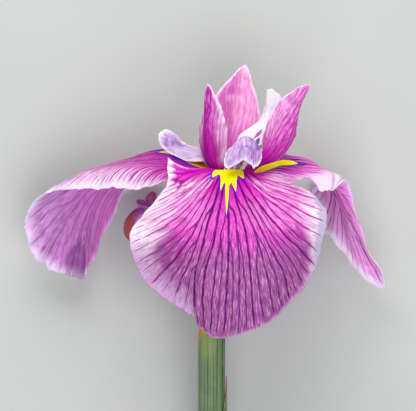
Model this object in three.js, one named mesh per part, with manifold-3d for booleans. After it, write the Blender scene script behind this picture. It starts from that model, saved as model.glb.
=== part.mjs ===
// A Japanese iris flower, picked with a length of stem and laid on its back.
// Millimetres, +Z up. The stem runs towards -Y, the front fall looks up (+Z).
//
// Every petal is a thin blade spread over a fan of ribs. A rib follows one vein from the claw, where the
// petal joins the tube, to the margin. Its points are measured from the flower's centre, where the petals
// and the style arms meet.

import * as THREE from "three";
import { mergeVertices } from "three/addons/utils/BufferGeometryUtils.js";
import Module from "manifold-3d";

const wasm = await Module();
wasm.setup();

// ---- driving dimensions ----------------------------------------------------------------------------

const BLADE_THICKNESS = 0.8;
const CLAW_RADIUS = 5.5;
const CLAW_HEIGHT = -4;
const FALL_CLAW_HALF_ANGLE = 31;
const STANDARD_CLAW_HALF_ANGLE = 21;
const STYLE_RADIUS = 2.7;
const STYLE_HEIGHT = -1;
const STYLE_HALF_ANGLE = 40;
const SEAT_GAP = 0.3;
const STEM_RADIUS = 3.2;
const RECEPTACLE_RADIUS = 4.1;
const BRACT_THICKNESS = 0.6;
const SPATHE_X = -8.6;
const SEAT_HEIGHT = -118;
const STEM_END = -176;
const STEM_LEAN = 13.88;

const leanDepth = (height) => height * Math.tan(THREE.MathUtils.degToRad(STEM_LEAN));

const MAGENTA = 0xe070c8;
const PALE_PINK = 0xf0c4e4;
const LAVENDER = 0xe2d8f2;
const STEM_GREEN = 0x8fa37c;
const TUBE_GREEN = 0x9db07a;
const ANTHER_TAN = 0xa8682c;
const WITHERED = 0x8c3f62;

// ---- the fans of ribs, each from its claw to the margin ----------------------------------------------

// Left edge with its curled ear, round the tip with its notch and pleat, to the right edge.
const FALL_FRONT = [
  [[-7.2, -0.8, 8.2], [-12.6, -0.2, 11.0], [-16.8, -0.2, 13.0], [-21.2, 0.8, 14.5], [-26.4, 4.2, 15.0]],
  [[-6.4, -1.0, 9.2], [-12.8, -2.2, 15.0], [-17.6, -4.2, 18.5], [-22.4, -6.4, 20.0], [-27.4, -8.4, 20.0]],
  [[-5.6, -1.1, 10.0], [-12.4, -4.2, 18.5], [-18.8, -8.8, 23.5], [-27.2, -14.0, 25.0], [-36.8, -19.0, 22.0]],
  [[-4.8, -1.2, 10.6], [-11.2, -7.4, 22.5], [-17.4, -15.2, 29.5], [-28.0, -24.0, 31.0], [-41.2, -31.0, 25.0]],
  [[-4.1, -1.3, 11.0], [-9.4, -11.0, 26.0], [-14.8, -22.4, 35.0], [-22.0, -35.0, 38.0], [-32.8, -46.4, 32.0]],
  [[-3.4, -1.4, 11.2], [-7.2, -12.2, 27.6], [-11.2, -26.0, 38.0], [-14.8, -43.6, 41.8], [-15.4, -59.8, 38.4]],
  [[-2.8, -1.4, 11.3], [-5.4, -12.8, 28.4], [-8.4, -27.2, 39.2], [-12.6, -45.5, 43.8], [-12.6, -63.4, 40.8]],
  [[-2.0, -1.4, 11.4], [-2.6, -13.0, 28.6], [-3.0, -28.2, 39.8], [-3.4, -47.0, 44.6], [-5.2, -66.4, 42.0]],
  [[-1.1, -1.4, 11.3], [1.0, -12.6, 28.0], [4.4, -27.4, 38.8], [6.6, -45.0, 43.6], [8.4, -62.8, 41.0]],
  [[-0.1, -1.3, 11.0], [3.9, -11.6, 26.6], [10.0, -25.0, 36.0], [16.8, -39.0, 39.6], [21.6, -54.0, 36.0]],
  [[1.2, -1.2, 10.5], [6.2, -9.2, 23.4], [14.2, -19.6, 31.0], [23.6, -29.4, 33.4], [32.0, -39.0, 29.5]],
  [[2.8, -1.1, 9.8], [8.0, -6.6, 19.4], [16.8, -12.4, 25.0], [26.8, -17.6, 26.4], [36.0, -22.0, 23.0]],
  [[4.1, -0.9, 9.0], [9.0, -4.2, 15.4], [15.8, -7.2, 19.4], [24.8, -9.8, 20.4], [33.6, -12.4, 18.5]],
  [[5.2, -0.8, 8.2], [9.2, -2.6, 12.5], [13.6, -4.0, 14.6], [18.4, -5.6, 15.4], [23.6, -8.0, 15.0]],
];

// Near edge, out along the arched blade, round the hanging tip, to the far edge.
const FALL_LEFT = [
  [[-8.2, -2.6, 0.8], [-13.2, -2.8, 4.0], [-17.6, -3.6, 5.6], [-22.2, -4.6, 6.4], [-27.2, -6.0, 6.4]],
  [[-8.6, -2.0, -0.3], [-15.2, -1.0, 1.3], [-22.4, -0.8, 2.4], [-31.2, -1.8, 2.8], [-37.0, -7.8, 3.6]],
  [[-8.8, -1.5, -1.4], [-16.4, 0.4, -1.8], [-26.4, 1.2, -3.4], [-42.6, 0.2, -4.8], [-50.4, -8.0, -2.2]],
  [[-8.9, -1.0, -2.5], [-17.3, 1.9, -4.8], [-28.8, 3.4, -8.2], [-53.0, 0.2, -12.8], [-65.6, -8.6, -12.0]],
  [[-8.9, -0.7, -3.5], [-17.8, 3.1, -7.4], [-31.0, 5.4, -12.0], [-58.6, -0.8, -18.6], [-78.0, -11.0, -20.0]],
  [[-8.8, -0.5, -4.5], [-18.0, 3.8, -9.6], [-32.2, 6.8, -15.4], [-59.0, -4.4, -23.4], [-84.6, -23.0, -24.0]],
  [[-8.5, -0.4, -5.4], [-17.8, 4.2, -11.6], [-32.8, 7.0, -18.6], [-58.6, -8.4, -27.8], [-79.0, -38.8, -28.0]],
  [[-8.1, -0.3, -6.2], [-17.2, 4.6, -13.4], [-32, 6.8, -21.6], [-56.4, -10.4, -32], [-66.8, -43.6, -32]],
  [[-7.6, -0.2, -6.9], [-16.4, 5.0, -15.0], [-30.8, 6.4, -24.4], [-53.4, -11.4, -36], [-59.4, -42.6, -36.5]],
  [[-7.0, -0.2, -7.5], [-15.4, 5.2, -16.4], [-29.0, 5.8, -27], [-49.8, -10.6, -39.5], [-55.0, -30.8, -42]],
  [[-6.3, -0.2, -8.0], [-14.2, 5.2, -17.6], [-26.8, 5.0, -29.0], [-45.8, -8.2, -42.0], [-48.6, -18.8, -45.0]],
  [[-5.5, -0.2, -8.4], [-12.8, 5.0, -18.4], [-24.2, 4.2, -30.4], [-41.0, -5.0, -42.5], [-44.4, -8.4, -46.0]],
  [[-4.7, -0.3, -8.7], [-11.2, 4.6, -18.8], [-21.2, 3.4, -31.0], [-34.0, -1.4, -41.0], [-37.6, -2.4, -44.0]],
  [[-4.0, -0.5, -8.8], [-9.4, 4.2, -18.8], [-17.6, 3.0, -29.6], [-24.0, 0.6, -36.0], [-27.6, 0.0, -39.0]],
];

// Near edge, over the rolled shoulder, down the hanging blade to its tip, to the far edge.
const FALL_RIGHT = [
  [[8.2, -2.6, 0.8], [12.2, -3.6, 4.4], [15.6, -4.6, 6.2], [18.6, -5.6, 6.8], [21.6, -6.6, 6.6]],
  [[8.6, -2.0, -0.3], [14.4, -2.0, 1.6], [19.6, -2.8, 3.0], [24.2, -4.0, 3.0], [28.4, -4.4, 2.0]],
  [[8.8, -1.5, -1.4], [16.2, -0.4, -1.4], [23.8, -1.2, -1.4], [33.2, -2.4, -2.6], [35.0, -6.4, 0.8]],
  [[8.9, -1.0, -2.5], [17.6, 1.2, -4.0], [28.2, 0.4, -6.2], [40.2, -1.8, -7.4], [40.8, -7.6, -1.6]],
  [[8.9, -0.7, -3.5], [18.6, 2.4, -6.6], [29.6, 2.6, -9.8], [40.2, -4.4, -11.4], [45.6, -5.2, -11.4]],
  [[8.8, -0.5, -4.5], [19.4, 3.2, -8.8], [31.4, 2.6, -13.2], [42.6, -8.6, -15.4], [49.0, -17.6, -17.5]],
  [[8.5, -0.4, -5.4], [19.4, 3.8, -10.8], [32.2, 2.4, -16.4], [44.0, -12.4, -19.6], [54.8, -32.8, -21.0]],
  [[8.1, -0.3, -6.2], [19.0, 4.4, -12.6], [32.2, 2.0, -19.4], [43.4, -14.6, -24.0], [60.8, -47.4, -25.5]],
  [[7.6, -0.2, -6.9], [18.2, 4.9, -14.2], [31.4, 1.6, -22.4], [42.6, -12.6, -28.6], [49.4, -42.2, -31.0]],
  [[7.0, -0.2, -7.5], [17.2, 5.4, -15.8], [30.2, 1.8, -26.0], [41.4, -9.8, -33.0], [41.2, -29.2, -36.0]],
  [[6.3, -0.2, -8.0], [16.0, 5.8, -17.2], [28.6, 2.4, -29.2], [39.8, -6.6, -37.0], [35.2, -24.4, -39.6]],
  [[5.5, -0.2, -8.4], [14.6, 6.0, -18.4], [26.6, 3.0, -31.8], [37.8, -3.6, -40.2], [32.4, -11.6, -43.0]],
  [[4.7, -0.3, -8.7], [13.0, 5.8, -18.9], [24.0, 3.6, -32.4], [34.4, -1.6, -41.2], [33.4, -6.2, -44.0]],
  [[4.0, -0.5, -8.8], [11.0, 5.2, -18.8], [20.2, 4.0, -30.8], [27.4, 2.0, -37.4], [31.4, 0.4, -40.6]],
];

// Left margin to right margin.
const STANDARD_LEFT = [
  [[-10.6, 0.8, 2.2], [-13.4, 6.0, 0.8], [-14.2, 11.0, 0.8], [-13.8, 15.6, 1.8]],
  [[-10.4, 1.2, 3.6], [-12.6, 8.4, 3.4], [-12.8, 15.6, 4.0], [-12.0, 22.4, 4.6]],
  [[-9.8, 1.4, 5.2], [-11.6, 9.4, 6.4], [-11.6, 18.6, 7.2], [-11.4, 28.0, 7.4]],
  [[-8.8, 1.5, 6.2], [-10.6, 9.8, 8.2], [-10.9, 20.4, 8.9], [-10.4, 33.4, 8.4]],
  [[-7.2, 1.5, 6.6], [-8.4, 9.4, 8.4], [-8.4, 18.8, 8.8], [-7.2, 28.2, 8.0]],
  [[-5.5, 1.2, 6.3], [-5.6, 8.6, 7.4], [-5.2, 15.8, 7.6], [-4.4, 21.8, 6.8]],
  [[-4.0, 0.6, 5.7], [-3.2, 6.6, 6.0], [-2.9, 11.4, 6.0], [-3.0, 15.6, 5.8]],
];

const STANDARD_RIGHT = [
  [[5.2, 1.0, 5.6], [9.8, 4.4, 4.8], [11.0, 8.4, 3.6], [11.8, 12.8, 2.6]],
  [[6.4, 1.2, 6.0], [11.4, 6.4, 6.2], [13.0, 12.8, 5.4], [14.4, 20.4, 4.2]],
  [[7.6, 1.4, 6.2], [12.8, 7.8, 7.4], [16.0, 16.0, 7.2], [19.2, 27.6, 5.2]],
  [[8.8, 1.5, 6.0], [14.6, 8.2, 8.0], [19.4, 18.4, 8.2], [30.0, 33.4, 6.0]],
  [[9.8, 1.3, 5.2], [16.4, 7.0, 7.2], [22.2, 16.0, 7.4], [26.8, 25.2, 5.4]],
  [[10.4, 0.9, 4.0], [17.4, 4.6, 5.4], [22.6, 11.2, 5.2], [25.4, 18.0, 3.8]],
  [[10.6, 0.6, 2.6], [16.8, 2.8, 3.4], [21.4, 7.4, 3.0], [25.0, 13.0, 2.2]],
];

const STANDARD_BACK = [
  [[-3.4, 1.0, -5.9], [-6.8, 8.4, -7.8], [-8.6, 14.6, -9.4], [-9.2, 20.4, -10.6]],
  [[-2.7, 1.4, -6.4], [-5.4, 10.4, -9.6], [-7.4, 19.6, -11.6], [-7.6, 27.8, -12.4]],
  [[-1.5, 1.6, -6.9], [-3.0, 11.8, -11.1], [-3.8, 22.8, -13.8], [-3.0, 35.4, -14.2]],
  [[0.0, 1.7, -7.1], [0.6, 12.2, -12.1], [1.8, 24.8, -15.4], [4.4, 41.2, -15.6]],
  [[1.5, 1.6, -6.9], [4.0, 11.8, -11.5], [6.2, 22.6, -15.2], [7.8, 34.4, -15.4]],
  [[2.7, 1.4, -6.4], [6.2, 10.4, -10.4], [8.8, 18.8, -14.2], [9.8, 27.0, -14.8]],
  [[3.4, 1.0, -5.9], [7.6, 8.2, -9.0], [9.8, 13.4, -12.4], [10.6, 18.6, -13.8]],
];

// Near edge, round the crest at the end of the arm, to the far edge.
const STYLE_LEFT = [
  [[-6.0, 1.8, -0.6], [-11.6, 2.6, -1.6], [-16.0, 2.6, -2.8], [-19.2, 2.8, -4.4]],
  [[-6.6, 3.6, -1.8], [-12.6, 4.8, -3.6], [-18.4, 5.0, -5.6], [-24.0, 5.0, -7.6]],
  [[-7.0, 4.8, -3.0], [-13.4, 6.4, -5.6], [-20.0, 6.0, -8.0], [-29.0, 8.6, -9.8]],
  [[-7.2, 5.4, -4.0], [-13.8, 7.2, -7.2], [-20.6, 7.2, -9.8], [-30.4, 13.0, -10.4]],
  [[-7.2, 5.6, -5.0], [-13.8, 7.6, -8.8], [-20.6, 7.8, -11.4], [-26.4, 15.8, -12.0]],
  [[-7.0, 5.6, -5.8], [-13.6, 7.6, -10.2], [-19.8, 8.2, -12.8], [-22.4, 12.2, -14.0]],
  [[-6.6, 5.2, -6.6], [-13.0, 7.6, -11.2], [-17.6, 8.6, -13.2], [-19.8, 10.2, -14.4]],
  [[-6.0, 4.4, -7.2], [-11.8, 7.4, -11.6], [-15.2, 8.4, -13.2], [-17.2, 9.0, -14.0]],
];

const STYLE_FRONT = [
  [[-1.2, 4.8, 6.0], [-0.6, 7.6, 10.4], [-1.4, 8.0, 14.0], [-2.4, 7.0, 16.6]],
  [[-0.2, 7.0, 6.6], [0.6, 9.4, 11.8], [-0.8, 8.0, 16.2], [-4.0, 3.2, 18.6]],
  [[1.0, 8.6, 7.0], [1.8, 11.0, 12.8], [0.4, 8.2, 18.2], [-2.8, -0.2, 20.0]],
  [[2.1, 9.4, 7.2], [3.2, 11.8, 13.4], [2.8, 8.8, 19.4], [1.4, 1.8, 21.4]],
  [[3.2, 9.6, 7.2], [4.6, 12.2, 13.6], [4.8, 9.2, 19.8], [5.0, 2.4, 21.8]],
  [[4.4, 9.4, 7.0], [6.4, 11.8, 13.2], [7.0, 8.4, 19.0], [8.2, -0.2, 20.6]],
  [[5.6, 8.2, 6.6], [8.0, 10.4, 12.2], [9.4, 7.6, 16.8], [10.6, 3.4, 18.8]],
  [[6.6, 6.2, 6.0], [9.2, 8.4, 10.8], [10.4, 8.0, 14.4], [10.6, 7.0, 16.6]],
];

const STYLE_RIGHT = [
  [[5.0, 4.4, 0.6], [8.6, 8.0, -1.0], [12.6, 10.4, -2.4], [16.4, 13.2, -4.2]],
  [[5.4, 6.4, -0.8], [9.6, 11.4, -2.8], [14.2, 14.8, -4.8], [18.4, 19.0, -6.6]],
  [[5.4, 8.0, -2.0], [9.8, 13.8, -4.4], [14.6, 18.4, -7.0], [19.2, 25.4, -9.0]],
  [[5.1, 9.0, -3.2], [9.4, 15.2, -5.9], [14.0, 20.6, -8.8], [17.6, 29.8, -10.4]],
  [[4.0, 9.6, -4.0], [7.8, 15.8, -6.6], [12.5, 21.0, -9.8], [13.6, 31.2, -11.2]],
  [[2.6, 9.6, -4.4], [6.0, 15.6, -7.0], [10.9, 19.6, -10.3], [12.6, 25.2, -12.0]],
  [[1.0, 9.4, -4.6], [3.6, 14.4, -7.2], [8.4, 17.0, -10.0], [11.4, 19.0, -11.8]],
];

// ---- splines, blades and stalks ----------------------------------------------------------------------

// The bend (second derivative) of a natural cubic spline at each of its evenly timed points.
function splineBends(points) {
  const last = points.length - 1;
  const bends = points.map(() => new THREE.Vector3());
  const shares = new Array(last).fill(0);
  for (let i = 1; i < last; i++) {
    shares[i] = 1 / (4 - shares[i - 1]);
    bends[i].copy(points[i - 1]).addScaledVector(points[i], -2).add(points[i + 1]).multiplyScalar(6);
    bends[i].sub(bends[i - 1]).multiplyScalar(shares[i]);
  }
  for (let i = last - 1; i > 0; i--) {
    bends[i].addScaledVector(bends[i + 1], -shares[i]);
  }
  return bends;
}

// The given number of points, evenly timed, on the natural cubic spline through the given ones.
function resample(points, count) {
  const bends = splineBends(points);
  const spans = points.length - 1;
  return Array.from({ length: count }, (_, k) => {
    const time = (k / (count - 1)) * spans;
    const i = Math.min(Math.floor(time), spans - 1);
    const f = time - i;
    const g = 1 - f;
    return new THREE.Vector3()
      .addScaledVector(points[i], g)
      .addScaledVector(points[i + 1], f)
      .addScaledVector(bends[i], (g ** 3 - g) / 6)
      .addScaledVector(bends[i + 1], (f ** 3 - f) / 6);
  });
}

// Points on an arc round the flower's axis, which is Y. Azimuth 0 faces up and 90 faces left.
function arc(from, to, radius, height, count) {
  return Array.from({ length: count }, (_, i) => {
    const azimuth = THREE.MathUtils.degToRad(THREE.MathUtils.lerp(from, to, i / (count - 1)));
    return new THREE.Vector3(-radius * Math.sin(azimuth), height, radius * Math.cos(azimuth));
  });
}

// A grid of points over a fan of ribs: grid[i][j] is step i across the fan and step j along the ribs.
function fanGrid(ribs, across, along) {
  const lines = ribs.map((rib) => resample(rib, along));
  const rows = lines[0].map((_, j) => resample(lines.map((line) => line[j]), across));
  return Array.from({ length: across }, (_, i) => rows.map((row) => row[i]));
}

function gridNormal(grid, i, j) {
  const lastI = grid.length - 1;
  const lastJ = grid[0].length - 1;
  const across = grid[Math.min(i + 1, lastI)][j].clone().sub(grid[Math.max(i - 1, 0)][j]);
  const along = grid[i][Math.min(j + 1, lastJ)].clone().sub(grid[i][Math.max(j - 1, 0)]);
  return across.cross(along).normalize();
}

// Waves along the margin, which rise out of the blade towards its outer end.
function ruffle(grid, waves, height) {
  const normals = grid.map((line, i) => line.map((_, j) => gridNormal(grid, i, j)));
  grid.forEach((line, i) => {
    line.forEach((point, j) => {
      const rise = THREE.MathUtils.smoothstep(j / (line.length - 1), 0.6, 1);
      const wave = Math.sin(2 * Math.PI * waves * (i / (grid.length - 1)));
      point.addScaledVector(normals[i][j], height * rise * wave);
    });
  });
}

function solid(points, triangles) {
  const geometry = new THREE.BufferGeometry();
  const places = points.flatMap((point) => point.toArray());
  geometry.setAttribute("position", new THREE.Float32BufferAttribute(places, 3));
  const volume = triangles.reduce((sum, [a, b, c]) => {
    return sum + points[a].dot(points[b].clone().cross(points[c]));
  }, 0);
  const outward = volume > 0 ? triangles : triangles.map(([a, b, c]) => [a, c, b]);
  geometry.setIndex(outward.flat());
  geometry.computeVertexNormals();
  return geometry;
}

// A closed blade of even thickness over a grid, with both faces split into triangles alike.
function blade(grid, thickness) {
  const across = grid.length;
  const along = grid[0].length;
  const points = [];
  for (const side of [0.5, -0.5]) {
    grid.forEach((line, i) => {
      line.forEach((point, j) => {
        points.push(point.clone().addScaledVector(gridNormal(grid, i, j), side * thickness));
      });
    });
  }
  const top = (i, j) => i * along + j;
  const under = (i, j) => across * along + top(i, j);
  const triangles = [];
  for (let i = 0; i < across - 1; i++) {
    for (let j = 0; j < along - 1; j++) {
      triangles.push([top(i, j), top(i + 1, j), top(i + 1, j + 1)]);
      triangles.push([top(i, j), top(i + 1, j + 1), top(i, j + 1)]);
      triangles.push([under(i, j), under(i + 1, j + 1), under(i + 1, j)]);
      triangles.push([under(i, j), under(i, j + 1), under(i + 1, j + 1)]);
    }
  }
  const wall = (a, b) => {
    triangles.push([top(...a), under(...a), under(...b)], [top(...a), under(...b), top(...b)]);
  };
  for (let i = 0; i < across - 1; i++) {
    wall([i, 0], [i + 1, 0]);
    wall([i + 1, along - 1], [i, along - 1]);
  }
  for (let j = 0; j < along - 1; j++) {
    wall([0, j + 1], [0, j]);
    wall([across - 1, j], [across - 1, j + 1]);
  }
  return solid(points, triangles);
}

// A closed stalk round a spine. size(t) gives its radius, and fold(angle, t) scales it round the section.
function stalk(spine, steps, sides, size, fold = () => 1) {
  const line = resample(spine, steps + 1);
  const points = [];
  line.forEach((centre, k) => {
    const t = k / steps;
    const ahead = line[Math.min(k + 1, steps)].clone().sub(line[Math.max(k - 1, 0)]).normalize();
    const right = new THREE.Vector3(0, 0, 1).cross(ahead).normalize();
    const up = ahead.clone().cross(right);
    for (let n = 0; n < sides; n++) {
      const angle = (2 * Math.PI * n) / sides;
      const radius = size(t) * fold(angle, t);
      points.push(centre.clone()
        .addScaledVector(right, radius * Math.cos(angle))
        .addScaledVector(up, radius * Math.sin(angle)));
    }
  });
  const triangles = [];
  for (let k = 0; k < steps; k++) {
    for (let n = 0; n < sides; n++) {
      const a = k * sides + n;
      const b = k * sides + ((n + 1) % sides);
      triangles.push([a, b, b + sides], [a, b + sides, a + sides]);
    }
  }
  const first = points.push(line[0].clone()) - 1;
  const end = points.push(line[steps].clone()) - 1;
  for (let n = 0; n < sides; n++) {
    const next = (n + 1) % sides;
    triangles.push([first, next, n], [end, steps * sides + n, steps * sides + next]);
  }
  return solid(points, triangles);
}

// A smooth profile through evenly timed values.
function profile(values) {
  const points = values.map((value) => new THREE.Vector3(value, 0, 0));
  const fine = resample(points, 101);
  return (t) => fine[Math.round(t * 100)].x;
}

// One solid from several that run into each other.
function fuse(geometries) {
  const solids = geometries.map((geometry) => {
    const bare = geometry.clone();
    bare.deleteAttribute("normal");
    const merged = mergeVertices(bare);
    return new wasm.Manifold(new wasm.Mesh({
      numProp: 3,
      vertProperties: merged.attributes.position.array,
      triVerts: merged.index.array,
    }));
  });
  const mesh = solids.reduce((sum, next) => sum.add(next)).getMesh();
  const geometry = new THREE.BufferGeometry();
  geometry.setAttribute("position", new THREE.BufferAttribute(mesh.vertProperties, 3));
  geometry.setIndex(new THREE.BufferAttribute(mesh.triVerts, 1));
  geometry.computeVertexNormals();
  return geometry;
}

// ---- the flower ----------------------------------------------------------------------------------------

const iris = new THREE.Group();
const flower = new THREE.Group();
iris.add(flower);

function add(name, geometry, color, roughness = 0.6) {
  const material = new THREE.MeshStandardMaterial({ color, roughness, metalness: 0 });
  const mesh = new THREE.Mesh(geometry, material);
  mesh.name = name;
  flower.add(mesh);
}

const vectors = (rib) => rib.map((point) => new THREE.Vector3(...point));

// Each rib starts on the rim of the tube, between the claw's two angles, and goes on through its own points.
function addFan(name, ribs, claw, steps, waves, color) {
  const start = arc(claw.from, claw.to, claw.radius, claw.height, ribs.length);
  const grid = fanGrid(ribs.map((rib, i) => [start[i], ...vectors(rib)]), steps.across, steps.along);
  ruffle(grid, waves.count, waves.height);
  add(name, blade(grid, BLADE_THICKNESS), color);
}

function claw(from, to) {
  return { from, to, radius: CLAW_RADIUS, height: CLAW_HEIGHT };
}

function addFalls() {
  const half = FALL_CLAW_HALF_ANGLE;
  const steps = { across: 37, along: 12 };
  const waves = { count: 9, height: 0.7 };
  addFan("fall_front", FALL_FRONT, claw(half, -half), steps, waves, MAGENTA);
  addFan("fall_left", FALL_LEFT, claw(120 - half, 120 + half), steps, waves, MAGENTA);
  addFan("fall_right", FALL_RIGHT, claw(-120 + half, -120 - half), steps, waves, MAGENTA);
}

function addStandards() {
  const half = STANDARD_CLAW_HALF_ANGLE;
  const steps = { across: 13, along: 10 };
  const waves = { count: 3, height: 0.3 };
  addFan("standard_left", STANDARD_LEFT, claw(60 + half, 60 - half), steps, waves, MAGENTA);
  addFan("standard_right", STANDARD_RIGHT, claw(-60 + half, -60 - half), steps, waves, MAGENTA);
  addFan("standard_back", STANDARD_BACK, claw(180 - half, 180 + half), steps, waves, PALE_PINK);
}

function styleClaw(from, to) {
  return { from, to, radius: STYLE_RADIUS, height: STYLE_HEIGHT };
}

function addStyles() {
  const half = STYLE_HALF_ANGLE;
  const steps = { across: 15, along: 10 };
  const waves = { count: 3, height: 0.3 };
  addFan("style_left", STYLE_LEFT, styleClaw(120 - half, 120 + half), steps, waves, LAVENDER);
  addFan("style_front", STYLE_FRONT, styleClaw(half, -half), steps, waves, LAVENDER);
  addFan("style_right", STYLE_RIGHT, styleClaw(-120 + half, -120 - half), steps, waves, LAVENDER);
}

// The funnel that carries the petals, the ovary below it and the pedicel down into the bracts.
function addTube() {
  const rim = CLAW_HEIGHT - BLADE_THICKNESS / 2 - SEAT_GAP;
  const spine = vectors([[0, rim, 0], [0, -12, -0.6], [-1.4, -24, -4.4], [-3.6, -38, -8.8],
    [-5.8, -56, -13.8], [-6.9, -76, -18.8], [-7.0, -98, -24.2], [-7.0, SEAT_HEIGHT, leanDepth(SEAT_HEIGHT)]]);
  const size = profile([6.1, 2.7, 3.3, 3.3, 1.9, 1.4, 1.4, 1.4]);
  add("tube_and_ovary", stalk(spine, 26, 10, size, (angle) => 1 + 0.05 * Math.cos(3 * angle)), TUBE_GREEN);
}

// The three style arms spring from this short column.
function addStyleColumn() {
  const base = CLAW_HEIGHT - BLADE_THICKNESS / 2;
  const spine = vectors([[0, base, 0], [0, STYLE_HEIGHT, 0], [0, 2.2, 0]]);
  add("style_column", stalk(spine, 6, 10, profile([2.1, 1.9, 1.2])), LAVENDER);
}

// A filament between each fall and its style arm, with the long anther at its end.
function addStamens() {
  const base = CLAW_HEIGHT - BLADE_THICKNESS / 2;
  const size = profile([0.5, 0.5, 0.5, 0.5, 1.0, 1.1, 1.0, 0.5]);
  const flat = (angle) => 1 - 0.25 * Math.sin(angle) ** 2;
  const routes = {
    stamen_front: [[0, base, 3.9], [0.2, 0.4, 5.6], [1.2, 3.0, 8.4], [2.0, 3.2, 12.4], [2.8, 0.8, 17.2]],
    stamen_left: [[-3.4, base, -2.0], [-5.4, 0.4, -3.0], [-8.8, 2.0, -3.6], [-12.8, 2.9, -4.6],
      [-16.6, 4.1, -6.0]],
    stamen_right: [[3.4, base, -2.0], [5.0, 0.4, -2.8], [7.4, 3.2, -4.0], [10.0, 6.6, -6.0],
      [13.0, 10.6, -8.6]],
  };
  for (const [name, route] of Object.entries(routes)) {
    add(name, stalk(vectors(route), 14, 6, size, flat), ANTHER_TAN);
  }
}

// The flower's stem, which slopes down to its cut end. Its top widens to carry bracts and pedicels.
function addStem() {
  const top = SEAT_HEIGHT - SEAT_GAP;
  const spine = vectors([[SPATHE_X, top, leanDepth(top)], [SPATHE_X, top - 7, leanDepth(top - 7)],
    [SPATHE_X - 0.3, -148, leanDepth(-148)], [SPATHE_X - 0.8, STEM_END, leanDepth(STEM_END)]]);
  const size = profile([RECEPTACLE_RADIUS, STEM_RADIUS + 0.3, STEM_RADIUS, STEM_RADIUS - 0.1]);
  add("stem", stalk(spine, 10, 14, size), STEM_GREEN);
}

// A leafy bract that wraps part of a round section across the sloping stem, round the line x = SPATHE_X.
// from, to: its edges' azimuths. tip: the azimuth and height of its highest point. shoulder: how much lower
// its margin is at the far edge, and power: how the margin falls there. foot, radius: its section's size.
function addBract(name, { from, to, tip, shoulder, power, foot, radius }) {
  const across = 15;
  const along = 9;
  const lean = THREE.MathUtils.degToRad(STEM_LEAN);
  const left = new THREE.Vector3(-1, 0, 0);
  const up = new THREE.Vector3(0, -Math.sin(lean), Math.cos(lean));
  const widest = Math.max(Math.abs(from - tip.azimuth), Math.abs(to - tip.azimuth));
  const base = SEAT_HEIGHT - 3;
  const grid = Array.from({ length: across }, (_, i) => {
    const azimuth = THREE.MathUtils.lerp(from, to, i / (across - 1));
    const angle = THREE.MathUtils.degToRad(azimuth);
    const top = tip.height - shoulder * (Math.abs(azimuth - tip.azimuth) / widest) ** power;
    return Array.from({ length: along }, (_, j) => {
      const t = j / (along - 1);
      const height = THREE.MathUtils.lerp(base, top, t);
      const reach = THREE.MathUtils.lerp(foot, radius, THREE.MathUtils.smoothstep(t, 0, 0.4));
      return new THREE.Vector3(SPATHE_X, height, leanDepth(height))
        .addScaledVector(left, reach * Math.sin(angle))
        .addScaledVector(up, reach * Math.cos(angle));
    });
  });
  add(name, blade(grid, BRACT_THICKNESS), STEM_GREEN);
}

// Two bracts clasp the top of the stem and close round the pedicels. A small third lies outside them.
function addBracts() {
  const foot = RECEPTACLE_RADIUS + SEAT_GAP + BRACT_THICKNESS / 2;
  const left = { azimuth: 4, height: -58 };
  const right = { azimuth: -44, height: -57 };
  const outer = { azimuth: -84, height: -83.6 };
  const outside = foot + BRACT_THICKNESS + SEAT_GAP;
  addBract("bract_left", { from: -28, to: 170, tip: left, shoulder: 34, power: 2, foot, radius: 5.4 });
  addBract("bract_right", { from: -33, to: -184, tip: right, shoulder: 30, power: 1.6, foot, radius: 4.8 });
  addBract("bract_outer", { from: -48, to: -150, tip: outer, shoulder: 26, power: 0.8, foot: outside,
    radius: outside });
}

// The older bloom from the same bracts, withered and rolled in on itself, on its own pedicel.
function addSpentBloom() {
  const folds = (count, depth, twist) => (angle, t) => 1 + depth * Math.cos(count * angle + twist * t);
  const bundle = vectors([[-25.6, -42, -17.6], [-28.0, -32, -18], [-31.0, -21, -17.4], [-33.0, -13.4, -17],
    [-32.0, -9.6, -17]]);
  const roll = vectors([[-30.6, -19, -17], [-35.4, -18.8, -16], [-39.4, -21.6, -15.8], [-39.8, -26, -16.6],
    [-37.0, -29, -17.8]]);
  const flap = vectors([[-31, -17.4, -18], [-34.2, -15.4, -18.8], [-36.4, -14.4, -19]]);
  add("spent_bloom", fuse([
    stalk(bundle, 15, 16, profile([1.7, 4.6, 5.2, 2.9, 2.2, 0.6]), folds(5, 0.16, 5)),
    stalk(roll, 10, 12, profile([2.4, 3.6, 4.0, 3.8, 1.4]), folds(4, 0.1, 3)),
    stalk(flap, 5, 10, profile([2.2, 2.2, 1.0]), folds(3, 0.12, 2)),
  ]), WITHERED, 0.8);
  const route = vectors([[-25.4, -42.6, -17.6], [-19.4, -51, -17.4], [-14.0, -60, -17.0], [-11.9, -74, -18.4],
    [-11.7, -96, -23.8], [-11.7, SEAT_HEIGHT, leanDepth(SEAT_HEIGHT)]]);
  add("spent_pedicel", stalk(route, 18, 8, profile([1.8, 2.3, 1.6, 1.2, 1.2, 1.2])), TUBE_GREEN);
}

addFalls();
addStandards();
addStyles();
addStyleColumn();
addStamens();
addTube();
addSpentBloom();
addBracts();
addStem();

// The origin is on the surface below the middle of the whole. The lowest petals and the stem's end touch it.
const box = new THREE.Box3().setFromObject(flower, true);
flower.position.set(-(box.min.x + box.max.x) / 2, -(box.min.y + box.max.y) / 2, -box.min.z);

export default iris;
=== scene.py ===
"""A Japanese iris flower, picked and laid on its back, seen from straight above.

The petals are thin blades over the same fans of ribs as the model's, worked out on a much finer grid.
Lengths are in millimetres, measured from the flower's centre, until a mesh is made in metres.
"""

import math

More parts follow.
